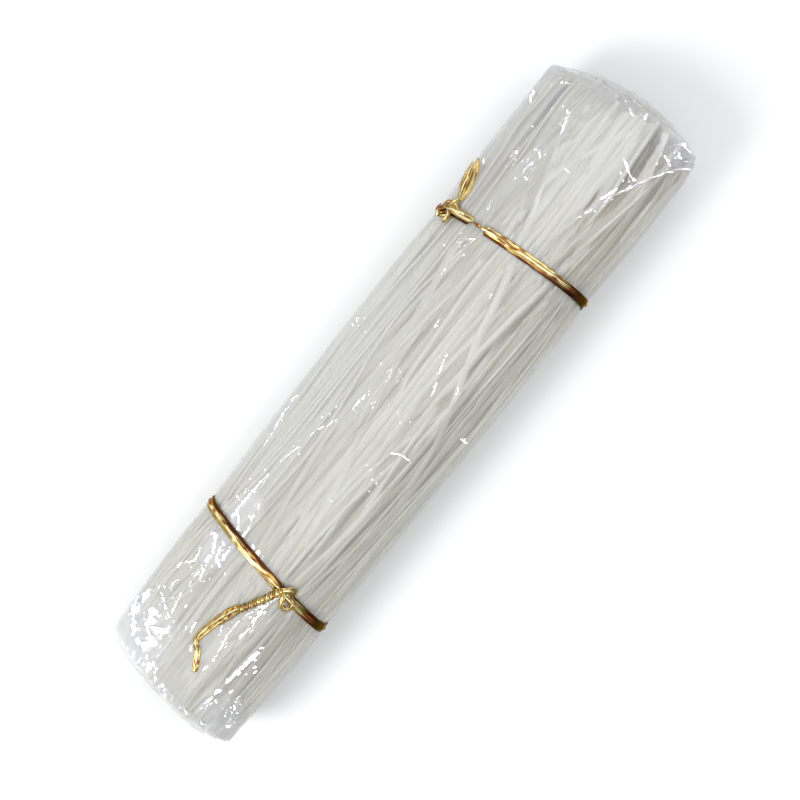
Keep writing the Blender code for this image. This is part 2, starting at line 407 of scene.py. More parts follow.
def layStrands():
    # starts from an even spread over the section, then slants and bows clumps and single strands
    count = noodles["count"]
    turn = np.arange(count) * tau * (math.sqrt(5) - 1) / 2
    share = np.sqrt((np.arange(count) + 0.5) / count)
    flat = np.stack([share * np.cos(turn), share * np.sin(turn)], axis=1)
    flat += random.normal(0, noodles["uneven"], flat.shape)
    heart = flat[random.choice(count, noodles["clumps"], replace=False)]
    clump = np.argmin(((flat[:, None] - heart[None]) ** 2).sum(2), axis=1)
    t = np.linspace(-1, 1, noodles["sections"])[:, None, None]

    def drift(size, rows, pick):
        return random.normal(0, size, (rows, 2))[pick][None]

    def clumped(clumpSize, strandSize):
        return drift(clumpSize, noodles["clumps"], clump) + drift(strandSize, count, np.arange(count))

    size = np.array([halfWidth, halfHeight]) - noodles["filmRoom"]
    places = (flat * size)[None] + t * clumped(noodles["clumpSlant"], noodles["strandSlant"])
    for wave in noodles["bows"]:
        bow = clumped(noodles["clumpBow"], noodles["strandBow"])
        phase = random.uniform(0, tau, (1, count, 1))
        places = places + bow * np.sin(wave * math.pi * t + phase) / wave
    return places


def touching(places, thickness):
    # index pairs of strands near enough to touch, with sections and strands counted as one list
    sections, count = places.shape[:2]
    first, second = [], []
    for row in range(sections):
        gap = np.linalg.norm(places[row][:, None] - places[row][None], axis=2)
        a, b = np.nonzero(np.triu(gap < 1.25 * thickness.max(), 1))
        first.append(a + row * count)
        second.append(b + row * count)
    return np.concatenate(first), np.concatenate(second)


def alongStations(route, stations):
    # y at each station for a route of (x, y) in mm, and how firmly it holds there: less towards its ends
    x, y = np.array(sorted(route)).T * mm
    start = x - leanAt(x) * (y - axisY)
    inside = np.minimum(stations - start[0], start[-1] - stations)
    hold = np.clip(inside / noodles["holdFade"] + 0.5, 0, 1)
    return np.interp(stations, start, y) - axisY, hold


def onTop(y, limit, angles):
    # the spot on the upper side, at the limit from the axis, that has this y
    upper = slice(0, len(angles) // 2 + 1)
    angle = np.interp(-y, -(limit * np.cos(angles))[upper], angles[upper])
    reach = np.interp(angle, angles, limit)
    return np.array([reach * math.cos(angle), reach * math.sin(angle)])


def settleStrands(stations):
    places = layStrands()
    sections, count = places.shape[:2]
    thickness = random.uniform(*noodles["thickness"], count)
    thickness[:len(noodles["laid"])] = noodles["thickness"][1]
    allowed = np.tile(thickness, sections)
    stiff = stiffCurve(sections, noodles["stiffness"])
    centre = np.array([axisY, axisZ])
    around = noodles["around"]
    angles = np.arange(around) * tau / around
    room = np.array([strandRoom(s, angles) for s in stations])

    laid = []
    for strand, route in enumerate(noodles["laid"]):
        y, hold = alongStations(route, stations)
        over = [onTop(y[row], room[row] - thickness[strand] / 2, angles) for row in range(sections)]
        laid.append((np.array(over), hold[:, None]))
    pits = []
    for low, high, half in noodles["gaps"]:
        y, _ = alongStations((low, high), stations)
        share = np.interp(stations, sorted((low[0] * mm, high[0] * mm)), (-1, 1))
        wide = half * mm * np.sqrt(1 - share ** 2)
        for row in np.nonzero(wide > 0)[0]:
            pits.append((row, onTop(y[row], room[row] - noodles["gapDepth"], angles), wide[row]))

    def layOver(places):
        # holds the laid strands on top and clears the gaps
        places = places.copy()
        for strand, (over, hold) in enumerate(laid):
            places[:, strand] += (over - places[:, strand]) * hold
        for row, middle, wide in pits:
            apart = places[row] - middle
            gap = np.linalg.norm(apart, axis=1)
            short = np.maximum(wide + thickness / 2 - gap, 0)
            places[row] += apart / np.maximum(gap, 1e-6)[:, None] * short[:, None]
        return places

    def keepInside(places):
        angle = np.arctan2(places[..., 1], places[..., 0]) % tau
        column = angle / tau * around
        left = np.floor(column).astype(int) % around
        across = column - np.floor(column)
        row = np.arange(sections)[:, None]
        limit = room[row, left] * (1 - across) + room[row, (left + 1) % around] * across - thickness / 2
        reach = np.linalg.norm(places, axis=2)
        return places * np.minimum(1, limit / np.maximum(reach, 1e-6))[..., None]

    for step in range(noodles["rounds"]):
        if step % 5 == 0:
            first, second = touching(places, thickness)
        flat = places.reshape(-1, 2)
        apart = flat[first] - flat[second]
        gap = np.maximum(np.linalg.norm(apart, axis=1), 1e-7)
        overlap = np.maximum((allowed[first] + allowed[second]) / 2 - gap, 0)
        push = apart / gap[:, None] * (0.5 * overlap)[:, None]
        moved = np.zeros_like(flat)
        for axis in range(2):
            moved[:, axis] = (np.bincount(first, push[:, axis], len(flat))
                              - np.bincount(second, push[:, axis], len(flat)))
        hits = np.bincount(first, overlap > 0, len(flat)) + np.bincount(second, overlap > 0, len(flat))
        flat = flat + moved / np.maximum(hits, 1)[:, None] ** 0.5
        places = keepInside(layOver(flat.reshape(places.shape)))
        places = np.einsum("ij,jkl->ikl", stiff, places)
    places = keepInside(layOver(places))
    return places + centre, thickness


def strandEnds(places, stations):
    # where each strand is cut off, a little inside the wrap's end faces
    shrink = 0.94  # an end face is measured this much nearer to its middle, so that the ray meets it
    ends = []
    for side, margin, plane in ((-1, "leftMargin", leftEnd), (1, "rightMargin", rightEnd)):
        gaps = random.uniform(*noodles[margin], places.shape[1])
        cut = []
        for strand, gap in enumerate(gaps):
            y = np.interp(plane[0], stations, places[:, strand, 0])
            z = np.interp(plane[0], stations, places[:, strand, 1])
            y, z = axisY + (y - axisY) * shrink, axisZ + (z - axisZ) * shrink
            if side < 0:
                gap += noodles["shorter"] * np.interp(-y, np.negative(noodles["shorterFrom"]), (0, 1))
            cut.append(endFace(y, z, side) - plane[1] * (y - axisY) - side * gap)
        ends.append(np.array(cut))
    return ends


def strandCourse(places, stations, ends, strand, thickness, inner):
    # the strand's middle line, with points closer together at the ties
    low, high = ends[0][strand], ends[1][strand]
    s = np.concatenate([[low], inner[(inner > low + 3 * mm) & (inner < high - 3 * mm)], [high]])
    y = np.interp(s, stations, places[:, strand, 0]) - axisY
    z = np.interp(s, stations, places[:, strand, 1]) - axisZ
    angle, reach = np.arctan2(z, y), np.hypot(y, z)
    limit = strandRoom(s, angle) - thickness / 2
    pull = np.minimum(1, limit / np.maximum(reach, 1e-6))
    return s, axisY + y * pull, axisZ + z * pull, limit - reach * pull


def sweepStrand(course, thickness, sides, twist):
    # rings of points round the middle line: a flattened section that lies flat under the film and twists
    s, y, z, _ = course
    around = np.arange(sides) * tau / sides
    flat = np.unwrap(np.arctan2(z - axisZ, y - axisY)) + math.pi / 2
    lay = flat[:, None] + np.clip(twist[0] + twist[1] * s[:, None], -noodles["tilt"], noodles["tilt"])
    wide, thin = thickness / 2 * noodles["wide"], thickness / 2 * noodles["thin"]
    a, b = wide * np.cos(around)[None], thin * np.sin(around)[None]
    ringY = y[:, None] + a * np.cos(lay) - b * np.sin(lay)
    ringZ = z[:, None] + a * np.sin(lay) + b * np.cos(lay)
    ringZ = np.maximum(ringZ, 0.05 * mm)
    return toFrame(np.broadcast_to(s[:, None], ringY.shape), ringY, ringZ).reshape(-1, 3)


def buildStrands(name, strands, courses, thickness, make, material):
    # one mesh of many strands, with a tone for each strand and a depth for each point, which sets its painted
    # gap shade
    points, faces, tone, depth, uvs = [], [], [], [], []
    start, sides, strip = 0, make["sides"], 1 / len(strands)
    for row, (strand, course) in enumerate(zip(strands, courses)):
        rings = len(course[0])
        twist = (random.normal(0, make["turn"]), random.normal(0, noodles["twist"]))
        points.append(sweepStrand(course, thickness[strand], sides, twist))
        faces += ringFaces(rings, sides, start)
        uvs.append(ringUvs(rings, sides, (0.005, strip * row), (0.99, 0.9 * strip), (0.001, strip * row)))
        shade = noodles["laidTone"] if strand < len(noodles["laid"]) else random.uniform()
        tone.append(np.full(rings * sides, shade))
        near = np.minimum(course[0] - course[0][0], course[0][-1] - course[0])
        depth.append(np.repeat(course[3] * np.clip(near / noodles["paleEnd"], 0.3, 1), sides))
        start += rings * sides
    piece = meshPiece(name, np.concatenate(points), faces, material)
    pointValues(piece, "tone", np.concatenate(tone))
    pointValues(piece, "depth", np.concatenate(depth) / noodles["paintedShadeDepth"])
    layOut(piece, np.concatenate(uvs))


noodleLook = {
    "plain": (0.915, 0.908, 0.81),
    "white": (0.98, 0.973, 0.935),
    # painted shade: the darker olive colour deep in the gaps between strands
    "gap": (0.74, 0.69, 0.33),
    "fall": 0.85,  # how the painted shade of the gaps comes in with depth
    "cloud": (22, 260, 260),  # patches and streaks to a metre, along and across the strands
    "streak": (60, 1500, 1500),
    "rough": 0.38,
    "grain": 0.25,
    "grainDepth": 0.2 * mm,
    "milk": 0.6,
    "glass": 0.2,
    "clear": 0.68,  # the share of light that passes through
}


def noodleMaterial(name, look):
    # milky, faintly olive starch, cloudy along each strand: whiter on top, with a painted shade that turns it
    # olive brown down in the gaps
    shop = Shop(name)
    tone, depth = shop.attribute("tone"), shop.attribute("depth")
    cloud = shop.noise(look["cloud"], 3.0)
    streak = shop.noise(look["streak"])
    light = (0.55 * tone + 0.45 * cloud).clamped()
    top = shop.mixed(light, look["plain"], look["white"])
    paintedShadeDepth = (depth ** look["fall"]).clamped()
    # painted shade: the deeper a point, the more it takes the gaps' darker olive colour
    colour = shop.mixed(paintedShadeDepth, top, look["gap"])
    rough = look["rough"] + 0.18 * (streak - 0.5)
    bump = shop.node("Bump", {}, {
        "Strength": look["grain"], "Distance": look["grainDepth"], "Height": streak})
    surface = shop.node("BsdfPrincipled", {}, {
        "Base Color": colour, "Roughness": rough, "Normal": bump, "Subsurface Weight": look["milk"],
        "Subsurface Radius": (1.0, 0.95, 0.8), "Subsurface Scale": 0.005, "IOR": 1.5,
        "Transmission Weight": look["glass"],
    })
    through = shop.node("BsdfTranslucent", {}, {"Color": colour})
    return shop.finish(shop.node("MixShader", {}, {0: look["clear"], 1: surface, 2: through}))


def buildCore(material):
    # the mass of strands that nothing shows of: a smooth closed body well below the outer ones
    low, high = leftEnd[0] + noodles["coreEnd"], rightEnd[0] - noodles["coreEnd"]
    s, angles = np.meshgrid(np.linspace(low, high, 60), np.arange(60) * tau / 60, indexing="ij")
    radius = outlineAt(s, angles) - noodles["coreDepth"]
    points = onRadius(s, radius, angles).reshape(-1, 3)
    piece = meshPiece("core", points, ringFaces(*s.shape), material)
    pointValues(piece, "tone", np.full(s.size, 0.5))
    # the core takes the painted gap shade of its depth
    pointValues(piece, "depth", np.full(s.size, noodles["coreDepth"] / noodles["paintedShadeDepth"]))


def buildNoodles():
    stations = np.linspace(leftEnd[0] - 6 * mm, rightEnd[0] + 9 * mm, noodles["sections"])
    places, thickness = settleStrands(stations)
    ends = strandEnds(places, stations)
    ties = [tie[0] + step * mm for tie in (leftTie, rightTie) for step in (-5.5, -2.6, 0, 2.6, 5.5)]
    spread = np.linspace(leftEnd[0] + 12 * mm, rightEnd[0] - 12 * mm, 44)
    spread = spread[tieGap(spread) > 7 * mm]
    inner = np.sort(np.concatenate([spread, ties]))
    material = noodleMaterial("starchNoodle", noodleLook)
    everyOne = range(noodles["count"])
    courses = [strandCourse(places, stations, ends, i, thickness[i], inner) for i in everyOne]
    nearest = np.array([course[3][2:-2].min() for course in courses])
    outer = [i for i in everyOne if nearest[i] < noodles["outerDepth"]]
    middle = [i for i in everyOne if noodles["outerDepth"] <= nearest[i] < noodles["innerDepth"]]
    hidden = [i for i in everyOne if nearest[i] >= noodles["innerDepth"]]
    buildStrands("outer_noodles", outer, [courses[i] for i in outer], thickness, noodles["outer"], material)

    # a strand below them has about every second point of its line, and the deepest are stubs at each end
    below = []
    for i in middle:
        keep = np.append(np.arange(len(courses[i][0]) - 1)[::2], -1)
        below.append((i, tuple(part[keep] for part in courses[i])))
    for i in hidden:
        for side, end in ((1, ends[0][i]), (-1, ends[1][i])):
            s = np.sort(end + side * np.array([0, 0.5, 1]) * noodles["stub"])
            below.append((i, (s, *(np.interp(s, courses[i][0], part) for part in courses[i][1:]))))
    strands, plainer = zip(*below)
    buildStrands("inner_noodles", strands, plainer, thickness, noodles["inner"], material)
    buildCore(material)
    print(f"noodles: {len(outer)} outer, {len(middle)} inner, {len(hidden)} shown at the ends only")
    return courses, thickness


courses, thickness = buildNoodles()


# The film: clear wrap that lies on the strands, gathers at the ties and folds shut over the ends

film = {
    "columns": 300,
    "fineRow": 0.55 * mm,  # row spacing near the ties and ends, and far from them
    "plainRow": 1.25 * mm,
    "rowRange": (6 * mm, 22 * mm),  # between these distances it grows from the one to the other
    "rise": 0.10 * mm,  # the film's clearance over a strand
    "cover": 1.5,  # how wide a strand lies under the film, as a share of its thickness
    "inside": 0.04 * mm,  # how far it stays within the wrap's outline
    "floor": 0.15 * mm,  # the lowest that it comes
    "bridge": 5,  # columns that it spans from strand to strand
    "looseGap": 0.22 * mm,  # where it is slack it stands this far inside the outline
    # pleats at the ties: how many there are all round, and how far from a tie they start, rise and fade
    "pleats": {"cells": 46, "height": 0.50 * mm, "bare": 1.2 * mm, "rise": 2.5 * mm, "fade": 13 * mm},
    "crinkle": {"height": 0.10 * mm, "long": 7.0 * mm, "wide": 3.4 * mm},
    "billow": {"height": 0.14 * mm, "long": 26 * mm, "wide": 9 * mm},
    # the folded ends' rings, as shares of the way out from the middle
    "capShares": (0.965, 0.93, 0.89, 0.84, 0.78, 0.71, 0.63, 0.54, 0.44, 0.34, 0.24, 0.15, 0.08, 0.03),
    "capGap": 0.08 * mm,  # between the folded ends and the wrap's end faces
    "gathers": {"cells": 17, "depth": 0.75 * mm, "crease": 8 * mm, "small": 0.10 * mm},
}

# patches of facets where spare film is crumpled: middle (x, y), half sizes, facet size and height, in mm
crumples = [
    {"middle": (-125, 19), "half": (14, 13), "facet": 5.0, "height": 0.75},
    {"middle": (-84, 17), "half": (9, 7), "facet": 3.2, "height": 0.4},
    {"middle": (-68, 17), "half": (9, 6), "facet": 3.0, "height": 0.35},
    {"middle": (134, -23), "half": (7, 9), "facet": 3.4, "height": 0.45},
    {"middle": (-131, -22), "half": (9, 9), "facet": 3.6, "height": 0.4},
]


def gradientNoise(u, v, around, seed):
    # smooth noise between about -1 and 1 on a surface that closes on itself after so many cells of v
    turns = np.random.default_rng(seed).uniform(0, tau, (256, around))
    left, low = np.floor(u).astype(int), np.floor(v).astype(int)
    du, dv = u - left, v - low
    fadeU, fadeV = du * du * (3 - 2 * du), dv * dv * (3 - 2 * dv)

    def corner(i, j):
        turn = turns[(left + i) % 256, (low + j) % around]
        return np.cos(turn) * (du - i) + np.sin(turn) * (dv - j)

    near = corner(0, 0) * (1 - fadeU) + corner(1, 0) * fadeU
    far = corner(0, 1) * (1 - fadeU) + corner(1, 1) * fadeU
    return 1.5 * (near * (1 - fadeV) + far * fadeV)


def ridged(noise):
    return 1 - 2 * np.minimum(abs(noise) * 1.8, 1)


def runAround(table, reach, pick):
    # the largest or smallest value within a few columns
    return pick([np.roll(table, shift, axis=1) for shift in range(-reach, reach + 1)], axis=0)


def smoothed(table, acrossSpread, alongSpread):
    # a soft blur, round the bundle and then along it
    for spread, axis in ((acrossSpread, 1), (alongSpread, 0)):
        reach = int(math.ceil(3 * spread))
        if reach < 1:
            continue
        kernel = np.exp(-0.5 * (np.arange(-reach, reach + 1) / spread) ** 2)
        kernel /= kernel.sum()
        if axis:
            table = sum(w * np.roll(table, i - reach, axis=1) for i, w in enumerate(kernel))
        else:
            padded = np.pad(table, ((reach, reach), (0, 0)), mode="edge")
            table = sum(w * padded[i:i + len(table)] for i, w in enumerate(kernel))
    return table


def filmStations():
    low, high = leftEnd[0] + 0.5 * mm, rightEnd[0] - 0.5 * mm
    stations = [low]
    while stations[-1] < high:
        here = stations[-1]
        near = min(tieGap(here), 1.6 * (here - low), 1.6 * (high - here))
        step = np.interp(near, film["rowRange"], (film["fineRow"], film["plainRow"]))
        stations.append(here + step)
    # the last row lies on the end, so all are shifted back by their share
    return np.array(stations) - np.linspace(0, stations[-1] - high, len(stations))


def strandEnvelope(s, angles, courses, thickness):
    # how far out the strands reach, in each direction at each station
    table = np.zeros((len(s), len(angles)))
    ys = np.array([np.interp(s, c[0], c[1], left=np.nan, right=np.nan) for c in courses]) - axisY
    zs = np.array([np.interp(s, c[0], c[2], left=np.nan, right=np.nan) for c in courses]) - axisZ
    radius = thickness / 2
    ray = np.stack([np.cos(angles), np.sin(angles)])
    for row in range(len(s)):
        here = ~np.isnan(ys[:, row])
        if not here.any():
            continue
        y, z, r = ys[here, row][:, None], zs[here, row][:, None], radius[here][:, None]
        forward = y * ray[0] + z * ray[1]
        aside = 1 - ((y * ray[1] - z * ray[0]) / (r * film["cover"])) ** 2
        reach = np.where((aside > 0) & (forward > 0), forward + r * np.sqrt(np.maximum(aside, 0)), 0)
        table[row] = reach.max(axis=0)
    # and a row past their ends
    padded = np.pad(table, ((1, 1), (0, 0)), mode="edge")
    return np.max([padded[:-2], table, padded[2:]], axis=0)


def facetHeight(x, y, size, seed):
    # cones round scattered points: flat facets that meet in sharp folds
    rng = np.random.default_rng(seed)
    u, v = x / size, y / size
    cellU, cellV = np.floor(u).astype(int), np.floor(v).astype(int)
    offsets = rng.uniform(0, 1, (64, 64, 3))
    nearest = np.full(u.shape, np.inf)
    for i in (-1, 0, 1):
        for j in (-1, 0, 1):
            spot = offsets[(cellU + i) % 64, (cellV + j) % 64]
            gap = np.hypot(u - (cellU + i + spot[..., 0]), v - (cellV + j + spot[..., 1]))
            nearest = np.minimum(nearest, gap + 0.5 * spot[..., 2])
    return nearest


def spanStrands(along, around, outline, strands, bare):
    # the film spans the hollows between strands, and stands off them where it is slack or beyond their ends.
    # It gives the radius of the film before its wrinkles, and how slack it is
    beyond = smoothed(bare.astype(float), 2, 1.5)
    spanned = np.where(bare, outline - 0.3 * mm, strands)
    spanned = runAround(runAround(spanned, film["bridge"], np.max), film["bridge"] - 1, np.min)
    spanned = smoothed(spanned, 1.6, 2.2)
    slack = smoothed(np.clip(slackAt(along, around) / (0.3 * mm), 0, 1), 2, 2)
    slack = np.clip(slack + beyond, 0, 1)
    return spanned + slack * np.maximum(outline - film["looseGap"] - spanned, 0), slack


def wrinkleFilm(along, around, base):
    # low billows, small crinkles everywhere, pleats drawn in by the ties, and crumples where film is spare.
    # It gives their height, and how crinkled, pleated and crumpled each place is
    share = around / tau
    billow, crinkle, pleats = film["billow"], film["crinkle"], film["pleats"]
    girth = tau * halfWidth * 0.87
    cells = int(girth / billow["wide"])
    wave = billow["height"] * gradientNoise(along / billow["long"], share * cells, cells, 11)
    cells = int(girth / crinkle["wide"])
    skew = along / crinkle["long"]
    busy = np.clip(0.35 + 1.3 * gradientNoise(along / (30 * mm), share * 5, 5, 14), 0, 1)
    wave += busy * crinkle["height"] * ridged(gradientNoise(skew, share * cells + 0.35 * skew, cells, 12))

    tie = tieGap(along)
    cells = pleats["cells"]
    drift = 1.3 * gradientNoise(along / (9 * mm), share * 14, 14, 15)
    fold = ridged(gradientNoise(0.5 + along / (60 * mm), share * cells + drift, cells, 16))
    pleated = np.exp(-tie / pleats["fade"]) * np.clip((tie - pleats["bare"]) / pleats["rise"], 0, 1)
    pleated *= np.clip(0.55 + 1.2 * gradientNoise(along / (40 * mm), share * 9, 9, 17), 0, 1)
    wave += pleats["height"] * pleated * (0.5 + 0.5 * fold)

    x, y, z = np.moveaxis(onRadius(along, base, around), -1, 0)
    top = np.clip((z - axisZ) / (4 * mm), 0, 1)
    crumpled = np.zeros_like(x)
    for number, patch in enumerate(crumples):
        away = ((x - patch["middle"][0] * mm) / (patch["half"][0] * mm)) ** 2
        away += ((y - patch["middle"][1] * mm) / (patch["half"][1] * mm)) ** 2
        here = np.clip(1.6 - 1.3 * away, 0, 1) * top
        bent = patch["facet"] * mm
        swerve = 0.3 * bent * gradientNoise(x / bent, y / bent + 30, 64, 50 + number)
        wave += here * patch["height"] * mm * (0.9 - 1.6 * facetHeight(x + swerve, y, bent, number))
        crumpled = np.maximum(crumpled, 0.6 * here)
    return wave, busy, pleated, crumpled


def foldEnd(side, last, angles):
    # the film folds in over the end face in uneven gathers: rings of points, the first one next to its edge
    gathers = film["gathers"]
    cells = gathers["cells"]
    rim = np.hypot(last[:, 1] - axisY, last[:, 2] - axisZ)
    rings = []
    for share in film["capShares"]:
        fold = ridged(gradientNoise(3 * share, angles / tau * cells + 2.2 * share, cells, 30 + side))
        u, v = (rim * share * way / gathers["crease"] + 20 for way in (np.cos(angles), np.sin(angles)))
        creased = ridged(gradientNoise(u + 0.4 * v, v, 64, 36 + side))
        small = gradientNoise(2.7 * u, 2.7 * v, 200, 33 + side)
        outer = min(1, max(0, (share - 0.35) / 0.4))
        tuck = outer * (0.5 - 0.5 * fold) + (1 - 0.6 * outer) * (0.5 + 0.5 * creased)
        tuck = gathers["depth"] * min(1, 6 * (1 - share)) * tuck + gathers["small"] * (1 + small)
        ring = []
        for column, angle in enumerate(angles):
            reach = rim[column] * share
            y, z = axisY + reach * math.cos(angle), max(axisZ + reach * math.sin(angle), 2 * film["floor"])
            x = endFace(y, z, side)
            x = last[column, 0] if x is None else x
            ring.append((x - side * (film["capGap"] + tuck[column]), y, z))
        rings.append(ring)
    return np.array(rings)


def buildFilm(courses, thickness):
    columns = film["columns"]
    angles = np.arange(columns) * tau / columns
    stations = filmStations()
    along, around = np.meshgrid(stations, angles, indexing="ij")
    outline = outlineAt(along, around) - film["inside"]
    strands = strandEnvelope(stations, angles, courses, thickness)
    bare = strands < 0.6 * outline
    strands = np.where(bare, 0, strands + film["rise"])
    outline = np.maximum(outline, strands)
    base, slack = spanStrands(along, around, outline, strands, bare)
    wave, busy, pleated, crumpled = wrinkleFilm(along, around, base)
    radius = np.clip(base + wave, strands, outline)
    body = onRadius(along, radius, around)
    body[..., 2] = np.maximum(body[..., 2], film["floor"])
    left, right = foldEnd(-1, body[0], angles), foldEnd(1, body[-1], angles)
    grid = np.concatenate([left[::-1], body, right])
    rows = len(grid)
    material = filmMaterial("clearFilm", filmLook)
    piece = meshPiece("film", grid.reshape(-1, 3), ringFaces(rows, columns), material)

    def whole(values, folded):
        # the same value over each folded end
        return np.pad(values, ((len(left), len(right)), (0, 0)), constant_values=folded)

    near = np.minimum(along - stations[0], stations[-1] - along)
    crinkled = np.clip(0.18 * busy + 0.75 * pleated + crumpled, 0, 1)
    crinkled = np.maximum(crinkled, 0.5 * np.exp(-near / (4 * mm)))
    hazy = np.clip(0.35 * slack + 0.8 * crumpled + 0.45 * np.exp(-near / (5 * mm)), 0, 1)
    pointValues(piece, "crinkle", whole(crinkled, 0.35))
    pointValues(piece, "haze", whole(hazy, 0.0))
    layOut(piece, ringUvs(rows, columns, (0.01, 0.01), (0.98, 0.98), (0.004, 0.004)))
    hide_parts("wrapped_noodles")
    print(f"film: {rows} rows by {columns} columns")

    def filmRadius(station, angle):
        row = np.interp(station, stations, np.arange(len(stations)))
        top = int(min(row, len(stations) - 2))
        level = radius[top] * (1 - row + top) + radius[top + 1] * (row - top)
        return np.interp(np.mod(angle, tau), np.append(angles, tau), np.append(level, level[0]))

    bpy.context.view_layer.update()
    return BVHTree.FromObject(piece, bpy.context.evaluated_depsgraph_get()), filmRadius


filmLook = {
    "tint": (0.985, 0.985, 0.99),
    "milk": (0.74, 0.74, 0.77),
    "haze": 0.25,  # how milky it is everywhere, how much more where it is slack, and how much more at a slant
    "moreHaze": 0.38,
    "rimHaze": 0.17,
    "mirror": 0.075,  # how much it mirrors seen straight on, and how much more at a slant
    "slantMirror": 0.23,
    "shine": 0.07,
    "fine": 0.0003,
    "crackle": (420, 700, 700),  # fine wrinkles and facets to a metre, along and across
    "facets": (260, 420, 420),
}


def filmMaterial(name, look):
    # see-through, mirroring more at a slant, and milkier where it is slack or crumpled
    shop = Shop(name)
    crinkle, haze = shop.attribute("crinkle"), shop.attribute("haze")
    fine = shop.noise(look["crackle"])
    facets = shop.node("TexVoronoi", {}, {"Vector": shop.stretched(look["facets"]), "Scale": 1.0})
    height = crinkle * (0.6 * fine + 0.7 * facets)
    bump = shop.node("Bump", {}, {"Strength": 1.0, "Distance": look["fine"], "Height": height})
    slant = shop.node("LayerWeight", {}, {"Blend": 0.5, "Normal": bump}, output="Facing")
    both = look["mirror"] + look["slantMirror"] * slant ** 5.0
    clear = shop.node("BsdfTransparent", {}, {"Color": look["tint"]})
    milky = shop.node("BsdfDiffuse", {}, {"Color": look["milk"]})
    cloudy = look["haze"] + look["moreHaze"] * haze + look["rimHaze"] * slant ** 4.0
    under = shop.node("MixShader", {}, {0: cloudy.clamped(), 1: clear, 2: milky})
    gloss = shop.node("BsdfGlossy", {}, {
        "Color": (1.0, 1.0, 1.0), "Roughness": look["shine"], "Normal": bump})
    return shop.finish(shop.node("MixShader", {}, {0: both, 1: under, 2: gloss}))


filmTree, filmRadius = buildFilm(courses, thickness)


# Creases: small flat shards of film that stand up and catch the light

